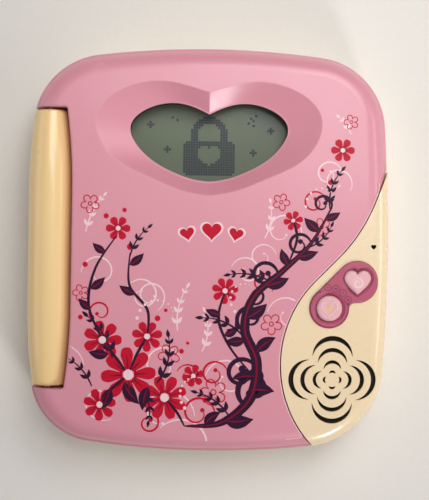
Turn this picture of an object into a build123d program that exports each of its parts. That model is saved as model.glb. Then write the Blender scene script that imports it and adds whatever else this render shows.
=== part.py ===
from build123d import *
import os
from math import asin, cos, degrees, radians, sin

# An electronic secret diary: a flat case that opens like a book. A pink cover swings on a
# cream barrel along its left edge. The screen shows through a heart-shaped well in the cover,
# and an S curve along its right edge leaves the buttons and loudspeaker of the case in reach.
# X is to the right, Y is to the back, Z is up. The origin is the middle of the footprint.
# All sizes are millimetres.

# ---- plan shape of the case
half_width = 90.0
half_depth = 100.5
side_fall = 4.4  # the corners lie this far inside the middle of each side
end_fall = 8.4  # and this far inside the middle of the front and back
corner_radius = 37.0
front_corner_radius = 34.0  # at the front left
panel_corner_radius = 42.0  # at the front right, where the side panel ends

# ---- heights
foot_height = 1.0
case_floor = 2.2
parting_z = 13.0  # bottom case meets upper case
rim_z = 25.5  # top of the upper case under the cover
cover_seam = 0.5
crown_z = 41.0  # top of the cover's dome
crown_radius = 2000.0
cover_round = 11.0
panel_round = 8.0
bottom_round = 3.5
bead_width = 1.3  # a bead runs along the foot of the cover's edge
bead_height = 3.0
bead_round = 1.2
deck_z = 24.0
deck_thickness = 2.0
panel_drop = 0.8  # the side panel lies this far under the cover's dome

# ---- walls and gaps
case_wall = 2.4
cover_wall = 2.2
rim_width = 4.6
ledge_width = 2.6
ledge_thickness = 2.0
cover_gap = 0.6  # between the cover and the side panel
part_gap = 0.25  # between pieces that are fixed to each other
slide_gap = 0.3  # round each key and button
pin_fit = 0.05
edge_break = 0.4  # chamfer of the cover's edge along the S curve
notch_break = 0.6  # and along the barrel

# ---- the S curve between the cover and the side panel
bulge_centre = (half_width + 5.5, 44.9 - half_depth)
bulge_radius = 58.4
slope_angle = 45.5
slope_length = 15.8
shoulder_radius = 81.7
shoulder_turn = 22.5

# ---- hinge barrel
hinge_x = 11.3 - half_width
hinge_z = 28.0
barrel_half = half_depth - 32.0
barrel_straight = 28.0  # the barrel narrows beyond this distance from its middle
barrel_mid_radius = 11.1
barrel_end_radius = 8.0
barrel_wall = 2.2
barrel_boss = 8.0
barrel_gap = 0.5
notch_gap = 1.2
trough_gap = 0.3
trough_wall_z = 21.0
knuckle_radius = 10.1
pin_radius = 1.6
pin_reach = 6.0  # how far each pin stands into its ear
pin_grip = 8.0  # and into the barrel

# ---- screen, and the heart-shaped well over it
lens_y = half_depth - 47.5
lens_width = 92.0
lens_depth = 54.0
lens_thickness = 1.4
lens_rise = 0.2
lens_frame = 4.0
lens_frame_rise = 0.8
window_edge = 3.0
screen_thickness = 2.8
screen_frame = 4.0
board_thickness = 1.6
lip_z = 33.6
lip_thickness = 1.6
well_wall = 2.0
well_tilt = 1.8  # the well's mouth leans back with the dome
skirt_gap = 1.5
skirt_wall = 1.6
lip_points = [(0, 14.2), (19.9, 19.7), (39.1, 7.8), (31.3, -6.3), (17.9, -14.5), (8.9, -17.8), (0, -19.1)]
mouth_points = [(0, 24.7), (26.6, 30.4), (57.6, 11.9), (52.2, -4.2), (29.5, -17.7), (14.8, -23.7), (0, -26.7)]

# ---- liner inside the cover
liner_z = 27.0
liner_thickness = 2.0
liner_boss_rise = 1.2
pocket_depth = 0.6
pocket_size = (96.0, 78.0)

# ---- side panel: controls, loudspeaker and microphone
heart_centre = (half_width - 15.9, bulge_centre[1] + 40.9)
round_centre = (heart_centre[0] - 13.7, heart_centre[1] - 13.2)
heart_ring = 10.3
round_ring = 9.8
waist_round = 3.0
bezel_rise = 1.0
bezel_depth = 5.8
bezel_flange = 1.2
bezel_dish = 1.1
heart_half_width = 6.6
round_radius = 6.35
button_rise = 1.9
button_shoulder = 0.9
button_dish = 2.0
button_travel = 1.2
button_flange = 1.0
button_stem = 1.8
switch_size = 6.0
switch_height = 1.8
button_board_z = 28.0
button_board_size = (40.0, 45.0)
button_board_middle = (heart_centre[0] - 10.2, heart_centre[1] - 5.1)
post_radius = 2.2
button_posts = [(-25.6, -23.1), (7.4, -17.1), (0.3, 14.9)]  # from the heart
speaker_centre = (half_width - 27.5, bulge_centre[1] - 7.6)
speaker_radius = 20.0
speaker_z = 31.8  # the front of its frame
# each ring of slots: its distance from the middle, then a slot's width and half its length
petals = ((21.7, 2.5, 9.9), (15.8, 2.1, 7.2), (9.7, 1.7, 4.3), (4.7, 1.2, 1.6))
microphone_centre = (half_width - 8.0, heart_centre[1] + 17.3)
microphone_radius = 3.0
microphone_height = 5.2
microphone_drop = 2.0  # under the panel's inner face

# ---- batteries
cell_radius = 7.25
cell_length = 50.5
nub_length = 1.2
nub_radius = 2.7
cell_count = 3
cell_gap = 0.6
bay_centre = (half_width - 32.0, heart_centre[1] - 21.1)
bay_spring_room = 3.6
bay_wall = 1.2
door_thickness = 1.8
door_overlap = 1.4
door_tab_width = 8.0
bay_width = cell_count * 2 * cell_radius + (cell_count + 1) * cell_gap
bay_depth = cell_length + 2 * bay_spring_room
bay_left = bay_centre[0] - bay_width / 2 - bay_wall

# ---- keys
deck_left = hinge_x + barrel_mid_radius + barrel_gap + cover_wall
lens_front = lens_y - lens_depth / 2
key_spacing = 1.8
row_spacing = 5.6
mat_edge = 1.5
mat_thickness = 1.0
keyboard_left = deck_left + ledge_width + 1.7
keyboard_right = bay_left - mat_edge - 0.75
keyboard_x = (keyboard_left + keyboard_right) / 2
first_row_y = lens_front - 29.0
last_row_y = 49.5 - half_depth
row_pitch = (first_row_y - last_row_y) / 3
key_pitch = (keyboard_right - keyboard_left + key_spacing) / 10
key_width = key_pitch - key_spacing
key_depth = row_pitch - row_spacing
key_corner = 1.3
key_edge = 0.5
key_height = 2.0
key_travel = 1.2
key_flange = 0.5
key_flange_thickness = 1.2
wide_key = 13.0
space_width = 42.0
arrow_centre = (half_width - 37.0, lens_front - 15.0)
arrow_reach = 11.2
arrow_size = 9.0
pad_size = 4.4
pad_height = 2.2
field_depth = 0.6  # the keys stand in shallow fields of the deck
field_edge = 2.4

# ---- fasteners and feet
screw_radius = 1.1
screw_head_radius = 2.6
screw_head_height = 1.6
boss_radius = 3.6
case_screw_z = 7.0
case_screw_reach = 18.0
deck_screw_spots = [
    (35 - half_width, 13 - half_depth),
    (bulge_centre[0] - 75, 9.5 - half_depth),
    (35 - half_width, half_depth - 13),
    (half_width - 32, half_depth - 14.5),
]
panel_screw_spots = [(half_width - 7, heart_centre[1] + 26.9), (half_width - 32.5, 10 - half_depth)]
cover_screw_spots = [
    (36 - half_width, half_depth - 12.5),
    (half_width - 32, half_depth - 18.5),
    (36 - half_width, 14.5 - half_depth),
    (bulge_centre[0] - 69, 16.5 - half_depth),
    (bulge_centre[0] - 75, lens_y - 47),
    (34 - half_width, lens_y - 35),
]
board_posts = [
    (35 - half_width, lens_front - 6),
    (35 - half_width, last_row_y - 5),
    (bay_left - 10, last_row_y - 9),
    (bay_left - 10, lens_front - 6),
    (arrow_centre[0] + 11, lens_front - 4),
]
foot_radius = 6.0
foot_thickness = 1.8
foot_fit = 0.05
seam_chamfer = 0.4  # a shadow line where the two halves of the case meet
foot_spots = [
    (24 - half_width, 24.5 - half_depth),
    (24 - half_width, half_depth - 24.5),
    (half_width - 24, half_depth - 24.5),
    (half_width - 27, 22.5 - half_depth),
    (half_width - 13, heart_centre[1] + 17.9),
]

# ---- latch
latch_x = half_width - 16.0
latch_y = half_depth - 62.5
latch_z = 14.0
catch_width = 8.0
catch_thickness = 2.0
catch_swing = 1.2  # room for the catch's arc as the cover shuts
eye_gap = 0.6
bolt_width = 4.0
bolt_height = 2.4
bolt_gap = 0.3
bolt_stroke = 5.5
bolt_rest = 1.2  # how far the open bolt stays clear of the catch
bolt_length = 20.0
bolt_grip = 4.0  # how far the bolt stands into the solenoid
collar_place = bolt_stroke + 2.0  # far enough back to stay clear of the catch
collar_size = 1.5
collar_thickness = 1.2
spring_radius = 3.2
spring_wall = 0.5
spring_gap = 0.1
solenoid_width = 14.0
solenoid_length = 16.0
solenoid_height = 9.0

# ---- heights and lengths that follow
cover_z = rim_z + cover_seam
deck_bottom = deck_z - deck_thickness
ledge_bottom = deck_bottom - ledge_thickness
notch_end = barrel_half + notch_gap
cell_z = foot_height + door_thickness + cell_gap + cell_radius
bay_top = cell_z + cell_radius + cell_gap
key_top = deck_z + key_height
key_bottom = deck_bottom - part_gap - key_flange_thickness
pad_top = key_bottom - key_travel - part_gap / 2
board_top = pad_top - pad_height
board_z = board_top - board_thickness
bezel_bottom = crown_z - bezel_depth
switch_top = button_board_z + board_thickness + switch_height
bolt_tip = latch_y + catch_thickness / 2 + bolt_rest
solenoid_y = bolt_tip + bolt_length - bolt_grip + solenoid_length / 2
door_screw = (bay_centre[0], bay_centre[1] + bay_depth / 2 + bay_wall + boss_radius)
cover_screw_z = liner_z + screw_head_height


def prism(plan, low, high):
    """A plan shape made solid between two heights."""
    return Pos(0, 0, low) * extrude(plan, high - low)


def post(spot, radius, low, high):
    """A round post between two heights."""
    rod = Cylinder(radius, high - low, align=(Align.CENTER, Align.CENTER, Align.MIN))
    return Pos(spot[0], spot[1], low) * rod


def block(centre, width, depth, low, high):
    """A rectangular block between two heights."""
    brick = Box(width, depth, high - low, align=(Align.CENTER, Align.CENTER, Align.MIN))
    return Pos(centre[0], centre[1], low) * brick


def screw(spot, head_z, reach):
    """A pan-head screw that points up."""
    head = post(spot, screw_head_radius, head_z - screw_head_height, head_z)
    return head + post(spot, screw_radius, head_z, head_z + reach)


def dome_height(spot, drop=0.0):
    """How high the dome is over a spot of the plan."""
    return crown_z - drop - (spot[0] ** 2 + spot[1] ** 2) / (2 * crown_radius)


def outline(inset=0.0):
    """The plan of the case, drawn in by inset: four bowed sides and round corners."""
    x, y = half_width - side_fall, half_depth - end_fall
    plan = make_face(
        [
            ThreePointArc((-x, y), (0, half_depth), (x, y)),
            ThreePointArc((x, y), (half_width, 0), (x, -y)),
            ThreePointArc((x, -y), (0, -half_depth), (-x, -y)),
            ThreePointArc((-x, -y), (-half_width, 0), (-x, y)),
        ]
    )
    front = ((-x, -y), front_corner_radius), ((x, -y), panel_corner_radius)
    back = ((-x, y), corner_radius), ((x, y), corner_radius)
    for corner, radius in front + back:
        plan = fillet(plan.vertices().sort_by_distance(corner)[0], radius)
    return offset(plan, -inset) if inset else plan


def panel_side(grow=0.0):
    """All the plan to the right of the S curve, grown towards the cover."""
    along = Vector(cos(radians(slope_angle)), sin(radians(slope_angle)))
    left = Vector(-along.Y, along.X)
    normal = slope_angle + 90
    low_radius = bulge_radius + grow
    high_radius = shoulder_radius - grow
    slope_start = Vector(*bulge_centre) + left * low_radius
    slope_end = slope_start + along * slope_length
    bulge = CenterArc(bulge_centre, low_radius, normal, 240 - normal)
    shoulder = CenterArc(slope_end + left * high_radius, high_radius, normal - 180, shoulder_turn)
    leave = radians(slope_angle + shoulder_turn)
    top = (shoulder @ 1) + Vector(cos(leave), sin(leave)) * 40
    far = half_width * 1.6
    low = bulge @ 1
    return make_face(
        [
            bulge,
            Line(slope_start, slope_end),
            shoulder,
            Line(shoulder @ 1, top),
            Line(top, (far, top.Y)),
            Line((far, top.Y), (far, low.Y)),
            Line((far, low.Y), low),
        ]
    )


def barrel_side(near, middle, end):
    """A side that is straight in its middle and bows in to both its ends."""
    straight = Line((middle, -barrel_straight), (middle, barrel_straight))
    bow = TangentArc((middle, barrel_straight), (near, end), tangent=(0, 1))
    return [straight, bow, mirror(bow, Plane.XZ)]


def notch(grow=0.0):
    """The cut in the cover's left edge that the barrel fills."""
    end = notch_end + grow
    near = hinge_x + barrel_end_radius + barrel_gap + grow
    middle = hinge_x + barrel_mid_radius + barrel_gap + grow
    far = -half_width * 1.3
    back = Polyline((near, end), (far, end), (far, -end), (near, -end))
    return make_face(barrel_side(near, middle, end) + [back])


def heart(points, notch_lean, tip_lean):
    """A heart from the points of its right half, which run from the notch to the tip."""
    start = (cos(radians(notch_lean)), sin(radians(notch_lean)))
    finish = (-cos(radians(tip_lean)), -sin(radians(tip_lean)))
    half = Spline(*points, tangents=[start, finish], tangent_scalars=[1, 1])
    return make_face([half, mirror(half, Plane.YZ)])


def grown(points, grow):
    """Points moved away from the origin."""
    found = []
    for x, y in points:
        far = Vector(x, y) + Vector(x, y).normalized() * grow
        found.append((far.X if x else 0, far.Y))
    return found


def lip_heart(grow=0.0):
    return Pos(0, lens_y) * heart(grown(lip_points, grow), 28, 4)


def mouth_heart(grow=0.0):
    return Pos(0, lens_y) * heart(grown(mouth_points, grow), 15, 6)


def button_heart(grow=0.0, size=1.0):
    """The small heart of the upper button, about its own middle."""
    w = heart_half_width * size
    points = [(0, 0.6 * w), (0.56 * w, 0.86 * w), (w, 0.34 * w), (0.62 * w, -0.42 * w), (0, -0.97 * w)]
    return heart(grown(points, grow), 62, 38)


def envelope(edge_round, inset=0.0, drop=0.0, low=0.0):
    """A plan under a shallow dome, with a round edge."""
    dome = Pos(0, 0, crown_z - drop - crown_radius) * Sphere(crown_radius)
    body = prism(outline(inset), low, crown_z + 1) & dome
    rim = body.faces().sort_by(Axis.Z)[-1].edges()
    return fillet(rim, edge_round - inset)


def hollow(edge_round, wall, drop=0.0, low=0.0):
    """The room inside an envelope, with a chamfer under the round edge."""
    dome = Pos(0, 0, crown_z - drop - wall - crown_radius) * Sphere(crown_radius)
    body = prism(outline(wall), low, crown_z + 1) & dome
    rim = body.faces().sort_by(Axis.Z)[-1].edges()
    return chamfer(rim, (edge_round - wall) * 0.65)


def cover_form():
    """The cover's outer form: a round-edged dome with a bead along its foot."""
    skirt = prism(outline(), foot_height, cover_z + bead_height)
    skirt = fillet(skirt.faces().sort_by(Axis.Z)[-1].edges(), bead_round)
    return envelope(cover_round, bead_width) + skirt


def edges_over(body, plan, low):
    """The edges of a body above a height that run along a plan's boundary."""
    boundary = plan.wires()[0]
    found = []
    for edge in body.edges():
        spots = [edge @ 0.02, edge @ 0.5, edge @ 0.98]
        high = min(spot.Z for spot in spots) > low + 0.05
        if high and all(boundary.distance_to(Vertex(spot.X, spot.Y, 0)) < 0.001 for spot in spots):
            found.append(edge)
    return found


def barrel_form(grow=0.0, end=barrel_half):
    """The barrel's round form about the hinge axis."""
    r = barrel_end_radius + grow
    axis = Polyline((r, end), (0, end), (0, -end), (r, -end))
    plan = make_face(barrel_side(r, barrel_mid_radius + grow, end) + [axis])
    return Pos(hinge_x, 0, hinge_z) * revolve(plan, Axis.Y)


def hinge_rod(radius, near, far, side):
    """A round bar on the hinge axis between two distances from the middle."""
    rod = Cylinder(radius, far - near, rotation=(90, 0, 0))
    return Pos(hinge_x, side * (near + far) / 2, hinge_z) * rod


def find_keys():
    """Each key's name, centre, width and depth."""
    found = []
    for row, letters in enumerate(("qwertyuiop", "asdfghjkl", "zxcvbnm")):
        y = first_row_y - row * row_pitch
        middle = keyboard_x - (row == 2) * key_pitch
        for i, letter in enumerate(letters):
            x = middle + (i - (len(letters) - 1) / 2) * key_pitch
            found.append((f"key_{letter}", (x, y), key_width, key_depth))
    y = first_row_y - 2 * row_pitch
    wide_x = keyboard_x + 4.5 * key_pitch + key_width / 2 - wide_key / 2
    found.append(("key_delete", (wide_x, y), wide_key, key_depth))
    found.append(("key_enter", (wide_x, y - row_pitch), wide_key, key_depth))
    found.append(("key_space", (keyboard_x, y - row_pitch), space_width, key_depth))
    for name, dx, dy in (("up", 0, 1), ("down", 0, -1), ("left", -1, 0), ("right", 1, 0)):
        x = arrow_centre[0] + dx * arrow_reach
        y = arrow_centre[1] + dy * arrow_reach
        found.append((f"key_{name}", (x, y), arrow_size, arrow_size))
    return found


def key_plan(centre, width, depth, grow=0.0):
    plan = Rectangle(width + 2 * grow, depth + 2 * grow)
    return Pos(*centre) * chamfer(plan.vertices(), key_corner)


def make_key(centre, width, depth):
    """A key cap, and the flange that keeps it under the deck."""
    cap = prism(key_plan(centre, width, depth), key_bottom, key_top)
    cap = chamfer(cap.faces().sort_by(Axis.Z)[-1].edges(), key_edge)
    grow = 2 * (key_flange + slide_gap)
    flange_top = key_bottom + key_flange_thickness
    return cap + block(centre, width + grow, depth + grow, key_bottom, flange_top)


def right_of(x):
    """Everything to the right of x in plan."""
    wide = Rectangle(4 * half_width, 4 * half_depth, align=(Align.MIN, Align.CENTER))
    return Pos(x, 0) * wide


def deck_region(inset=0.0):
    return (outline(rim_width + inset) - panel_side(inset)) & right_of(deck_left + inset)


def bezel_plan(grow=0.0):
    """Two rings, with a straight flank on the cover's side and a round waist on the other."""
    top, low = Vector(*heart_centre), Vector(*round_centre)
    lean = degrees(asin((heart_ring - round_ring) / (top - low).length))
    across = (top - low).normalized().rotate(Axis.Z, 90 + lean)
    top_ring, low_ring = heart_ring + grow, round_ring + grow
    flank = make_face(Polyline(low, low + across * low_ring, top + across * top_ring, top, close=True))
    plan = Pos(*heart_centre) * Circle(top_ring) + Pos(*round_centre) * Circle(low_ring) + flank
    waist = plan.vertices().sort_by_distance((top + low) / 2 - across * round_ring)[0]
    return fillet(waist, waist_round - grow)


def crescent(distance, thickness, reach, angle):
    """One slot of the grille, widest in its middle and pointed at its ends."""
    ends = distance - reach * 1.06
    outer = ThreePointArc((-reach, ends), (0, distance), (reach, ends))
    inner = ThreePointArc((reach, ends), (0, distance - thickness), (-reach, ends))
    return Pos(*speaker_centre) * Rot(0, 0, angle) * make_face([outer, inner])


def grille():
    """Four rings of four slots that open like a flower."""
    slots = Sketch()
    for distance, thickness, reach in petals:
        for angle in (0, 90, 180, 270):
            slots += crescent(distance, thickness, reach, angle)
    return slots


def door_plan(inset=0.0):
    """The battery door: the bay's opening and a tab for its screw."""
    lap = 2 * (door_overlap - inset)
    tab_low = bay_centre[1] + bay_depth / 2 - 2
    plan = Pos(*bay_centre) * Rectangle(bay_width + lap, bay_depth + lap)
    tab = Rectangle(door_tab_width - 2 * inset, door_screw[1] - tab_low, align=(Align.CENTER, Align.MIN))
    plan += Pos(bay_centre[0], tab_low) * tab
    return plan + Pos(*door_screw) * Circle(door_tab_width / 2 - inset)


def make_bottom_case():
    body = prism(outline(), foot_height, parting_z)
    body = fillet(body.faces().sort_by(Axis.Z)[0].edges(), bottom_round)
    body = chamfer(body.faces().sort_by(Axis.Z)[-1].edges(), seam_chamfer)
    inner = foot_height + case_floor
    low = foot_height - 1
    body -= prism(outline(case_wall), inner, parting_z + 1)
    box = (bay_width + 2 * bay_wall, bay_depth + 2 * bay_wall)
    body += block(bay_centre, *box, foot_height, bay_top + bay_wall)
    body += post(door_screw, boss_radius + 0.4, foot_height, parting_z)
    body -= block(bay_centre, bay_width, bay_depth, low, bay_top)
    body -= prism(door_plan(), low, foot_height + door_thickness + 0.1)
    body -= post(door_screw, screw_radius + pin_fit, low, parting_z - 2)
    for spot in deck_screw_spots + panel_screw_spots:
        body += post(spot, boss_radius, foot_height + 1, parting_z)
        body -= post(spot, screw_head_radius + 0.3, low, foot_height + case_screw_z)
        body -= post(spot, screw_radius + pin_fit, low, parting_z + 1)
    for spot in foot_spots:
        body -= post(spot, foot_radius + foot_fit, low, foot_thickness)
    for spot in board_posts:
        body += post(spot, boss_radius - 0.8, inner - 0.5, board_z)
    shelf = latch_z - solenoid_height / 2
    for side in (-1, 1):
        rib = (latch_x + side * solenoid_width / 3, solenoid_y)
        body += block(rib, case_wall, solenoid_length * 0.8, inner - 0.5, shelf)
    return body


def under_panel(wall):
    """The room under the side panel."""
    room = hollow(panel_round, wall, panel_drop, parting_z - 1)
    return room & prism(panel_side(-wall), 0, crown_z + 1)


def make_upper_case():
    panel = envelope(panel_round, 0, panel_drop, parting_z) & prism(panel_side(), 0, crown_z + 1)
    body = prism(outline(), parting_z, rim_z) + panel
    body -= prism(outline(case_wall) & right_of(deck_left), parting_z - 1, ledge_bottom)
    body -= prism(deck_region(ledge_width), ledge_bottom - 1, deck_bottom + 1)
    body -= prism(deck_region(), deck_bottom, rim_z + 1)
    body -= under_panel(case_wall)
    body -= barrel_form(trough_gap, notch_end)
    spine = 2 * (half_width + hinge_x)
    body -= block((-half_width, 0), spine, 2 * notch_end, trough_wall_z, rim_z + 1)
    for side in (-1, 1):
        body -= hinge_rod(knuckle_radius + barrel_gap, notch_end - 0.3, half_depth, side)
    for spot in deck_screw_spots:
        body += post(spot, boss_radius, parting_z, deck_bottom)
    for spot in panel_screw_spots:
        boss = post(spot, boss_radius, parting_z, parting_z + case_screw_reach)
        body += boss & prism(panel_side(-1), 0, crown_z) & prism(outline(1), 0, crown_z)
    hole_top = foot_height + case_screw_z + case_screw_reach
    for spot in deck_screw_spots + panel_screw_spots:
        body -= post(spot, screw_radius + pin_fit, parting_z - 1, hole_top)
    body -= prism(bezel_plan(part_gap / 2), crown_z - 12, crown_z + 1)
    body -= prism(grille(), crown_z - 12, crown_z + 1)
    body -= prism(Pos(*microphone_centre) * button_heart(0, 0.2), crown_z - 12, crown_z + 1)
    posts = []
    for turn in (45, 135, 225, 315):
        reach = speaker_radius - post_radius / 2
        seat = Vector(*speaker_centre) + Vector(reach, 0).rotate(Axis.Z, turn)
        posts.append(post((seat.X, seat.Y), post_radius, speaker_z, crown_z))
    for dx, dy in button_posts:
        spot = (heart_centre[0] + dx, heart_centre[1] + dy)
        posts.append(post(spot, post_radius, button_board_z + board_thickness, crown_z))
    lining = hollow(panel_round, case_wall / 2, panel_drop, parting_z)
    for piece in posts:
        body += piece & lining
    return body


def make_deck_plate():
    plate = prism(deck_region(part_gap), deck_bottom, deck_z)
    frame = Rectangle(lens_width + 2 * lens_frame, lens_depth + 2 * lens_frame)
    plate += prism(Pos(0, lens_y) * fillet(frame.vertices(), lens_frame), deck_z, deck_z + lens_frame_rise)
    plate -= prism(key_fields(), deck_z - field_depth, deck_z + 1)
    for name, centre, width, depth in find_keys():
        plate -= prism(key_plan(centre, width, depth, slide_gap), deck_bottom - 1, deck_z + 1)
    edge = 2 * window_edge
    seat = deck_z + lens_rise - lens_thickness
    plate -= block((0, lens_y), lens_width + 2 * part_gap, lens_depth + 2 * part_gap, seat, deck_z + 1)
    plate -= block((0, lens_y), lens_width - edge, lens_depth - edge, deck_bottom - 1, deck_z + 1)
    slot = (latch_x + catch_swing / 2, latch_y)
    width = catch_width + catch_swing + 2 * part_gap
    plate -= block(slot, width, catch_thickness + 4 * part_gap, deck_bottom - 1, deck_z + 1)
    return plate


def key_fields():
    """The fields that the letter keys and the arrow keys stand in."""
    width = keyboard_right - keyboard_left + 2 * field_edge
    depth = first_row_y - last_row_y + key_depth + 2 * field_edge
    plan = Pos(keyboard_x, (first_row_y + last_row_y) / 2) * RectangleRounded(width, depth, 2 * field_edge)
    return plan + Pos(*arrow_centre) * Circle(arrow_reach + arrow_size / 2 + 1)


def make_spine_barrel():
    body = barrel_form()
    body = chamfer(body.edges().filter_by(GeomType.CIRCLE), 0.6)
    inner = barrel_half - barrel_boss
    body -= hinge_rod(barrel_end_radius - barrel_wall, -inner, inner, 1)
    for side in (-1, 1):
        body -= hinge_rod(pin_radius, barrel_half - pin_grip, barrel_half + 1, side)
    return body


def make_cover_shell():
    region = outline() - panel_side(cover_gap) - notch()
    outer = cover_form() & prism(region, cover_z, crown_z + 1)
    outer = chamfer(edges_over(outer, notch(), cover_z), notch_break)
    outer = chamfer(edges_over(outer, panel_side(cover_gap), cover_z), edge_break)
    edge = bead_width + cover_wall
    inner_region = outline(edge) - panel_side(cover_gap + cover_wall) - notch(cover_wall)
    inner = hollow(cover_round, edge, cover_wall - edge) & prism(inner_region, cover_z - 1, crown_z)
    body = outer - inner
    mouth_z = dome_height((lens_width / 2, lens_y)) + 0.5
    tilt = Pos(0, lens_y, mouth_z) * Rot(-well_tilt, 0, 0) * Pos(0, -lens_y, 0)
    bowl = loft([Pos(0, 0, lip_z - lip_thickness) * lip_heart(well_wall), tilt * mouth_heart(well_wall)])
    body += bowl & envelope(cover_round, bead_width)
    body -= loft([Pos(0, 0, lip_z) * lip_heart(lip_thickness / 2), tilt * mouth_heart()])
    body -= extrude(tilt * mouth_heart(), 3, dir=(0, 0, 1))
    body -= prism(lip_heart(), lip_z - lip_thickness - 1, crown_z)
    low = liner_z + liner_thickness + liner_boss_rise
    for spot in cover_screw_spots:
        body += post(spot, boss_radius, low, dome_height(spot) - cover_wall / 2)
        body -= post(spot, screw_radius + pin_fit, low - 1, low + 5)
    body -= block((-half_width, 0), 2 * (half_width + hinge_x), 3 * half_depth, 0, crown_z + 1)
    form = cover_form()
    for side in (-1, 1):
        body += hinge_rod(knuckle_radius, notch_end, half_depth, side) & form
        body -= hinge_rod(pin_radius + pin_fit, notch_end - 1, barrel_half + pin_reach + 0.5, side)
    return body


def make_cover_liner():
    edge = cover_wall + part_gap
    region = outline(bead_width + edge) - panel_side(cover_gap + edge) - notch(edge)
    room = right_of(hinge_x + knuckle_radius + part_gap)
    top = liner_z + liner_thickness
    body = prism(region & room, liner_z, top)
    pocket = Pos(keyboard_x, (first_row_y + last_row_y) / 2) * RectangleRounded(*pocket_size, 2 * field_edge)
    body -= prism(pocket, liner_z - 1, liner_z + pocket_depth)
    body += prism(lip_heart(skirt_gap + skirt_wall), liner_z, lip_z - lip_thickness - part_gap)
    body -= prism(lip_heart(skirt_gap), liner_z - 1, lip_z)
    for spot in cover_screw_spots:
        body += post(spot, boss_radius, liner_z, top + liner_boss_rise)
        body -= post(spot, screw_head_radius + 0.3, liner_z - 1, cover_screw_z)
        body -= post(spot, screw_radius + 0.2, liner_z, lip_z)
    eye_half = bolt_height / 2 + eye_gap
    catch = block((latch_x, latch_y), catch_width, catch_thickness, latch_z - eye_half - 2, liner_z + 1)
    eye_width = bolt_width + 2 * eye_gap
    return body + catch - block((latch_x, latch_y), eye_width, 8, latch_z - eye_half, latch_z + eye_half)


def make_control_bezel():
    top = envelope(panel_round, 0, panel_drop - bezel_rise, parting_z)
    body = top & prism(bezel_plan(), bezel_bottom, crown_z + 1)
    body = chamfer(body.faces().sort_by(Axis.Z)[-1].edges(), 0.5)
    body += under_panel(case_wall + part_gap) & prism(bezel_plan(bezel_flange), bezel_bottom, crown_z)
    for centre, plan in ((heart_centre, button_heart), (round_centre, button_disc)):
        surface = dome_height(centre, panel_drop - bezel_rise)
        hole = Pos(*centre) * plan(slide_gap)
        body -= prism(hole, bezel_bottom - 1, crown_z + 1)
        floor = Pos(centre[0], centre[1], surface - bezel_dish) * plan(slide_gap + 0.4)
        mouth = Pos(centre[0], centre[1], surface + 0.1) * plan(button_dish)
        body -= loft([floor, mouth])
    return body


def button_disc(grow=0.0):
    return Circle(round_radius + grow)


def make_button(centre, plan):
    """A button with a flange under the bezel and a stem that stands over its switch."""
    flange_top = bezel_bottom - part_gap
    flange_low = flange_top - button_flange
    top = dome_height(centre, panel_drop) + button_rise
    shoulder = Pos(0, 0, top - button_shoulder) * plan()
    cap = prism(plan(), flange_low, top - button_shoulder)
    cap += loft([shoulder, Pos(0, 0, top) * plan(-button_shoulder)])
    cap += prism(plan(slide_gap + 0.8), flange_low, flange_top)
    cap = Pos(*centre) * cap
    return cap + post(centre, button_stem, switch_top + button_travel + 0.1, flange_low + 0.5)


def make_button_board():
    region = Pos(*button_board_middle) * Rectangle(*button_board_size)
    margin = case_wall + 0.5
    region = region & outline(margin) & panel_side(-margin)
    region -= Pos(*microphone_centre) * Circle(microphone_radius + 1)
    low = button_board_z
    body = prism(region, low, low + board_thickness)
    for centre in (heart_centre, round_centre):
        body += block(centre, switch_size, switch_size, low + board_thickness - 0.2, switch_top - 0.6)
        body += post(centre, button_stem - 0.2, low + board_thickness, switch_top)
    return body


def make_loudspeaker():
    """A frame, a basket that narrows to the magnet, and the cone with its dust cap."""
    r = speaker_radius
    plan = Polyline(
        (0, speaker_z - 3.2), (5, speaker_z - 4.0), (0.85 * r, speaker_z - 0.6), (0.88 * r, speaker_z),
        (r, speaker_z), (r, speaker_z - 1.4), (0.92 * r, speaker_z - 1.4), (0.55 * r, speaker_z - 6.4),
        (0.5 * r, speaker_z - 6.4), (0.5 * r, speaker_z - 11.4), (0, speaker_z - 11.4), close=True,
    )
    profile = Plane.XZ * make_face(plan)
    return Pos(*speaker_centre, 0) * revolve(profile, Axis.Z)


def span(low_x, high_x, low_y, high_y, low, high):
    """A block between two corners of the plan."""
    centre = ((low_x + high_x) / 2, (low_y + high_y) / 2)
    return block(centre, high_x - low_x, high_y - low_y, low, high)


def make_main_board():
    right = bay_left - part_gap * 3
    x, y = arrow_centre
    body = span(keyboard_left - mat_edge, right, last_row_y - 13, lens_y + 29, board_z, board_top)
    body += span(right - 3, x + 17, y - 14.5, y + 18.5, board_z, board_top)
    return body & prism(outline(8), 0, crown_z)


def make_lcd_module():
    width, depth = lens_width - 4, lens_depth - 2
    top = deck_bottom - part_gap / 2
    body = block((0, lens_y), width, depth, top - screen_thickness, top)
    frame = block((0, lens_y), width, depth, board_top, top - screen_thickness)
    frame -= block((0, lens_y), width - 2 * screen_frame, depth - 2 * screen_frame, board_top - 1, top - 1)
    return body + frame


def make_lcd_lens():
    top = deck_z + lens_rise
    body = block((0, lens_y), lens_width, lens_depth, top - lens_thickness, top)
    return chamfer(body.faces().sort_by(Axis.Z)[-1].edges(), 0.15)


def make_keypad_mat():
    width = keyboard_right - keyboard_left + 2 * mat_edge
    depth = first_row_y - last_row_y + key_depth + 2 * mat_edge
    centre = (keyboard_x, (first_row_y + last_row_y) / 2)
    body = block(centre, width, depth, board_top, board_top + mat_thickness)
    side = 2 * arrow_reach + pad_size + 1
    body += block(arrow_centre, side, side, board_top, board_top + mat_thickness)
    for name, spot, key_w, key_d in find_keys():
        length = max(pad_size, key_w - 5)
        body += block(spot, length, pad_size, board_top + mat_thickness - 0.1, pad_top)
    return body


def cell_spots():
    pitch = 2 * cell_radius + cell_gap
    return [(bay_centre[0] + (i - 1) * pitch, bay_centre[1], (-1) ** i) for i in range(cell_count)]


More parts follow.
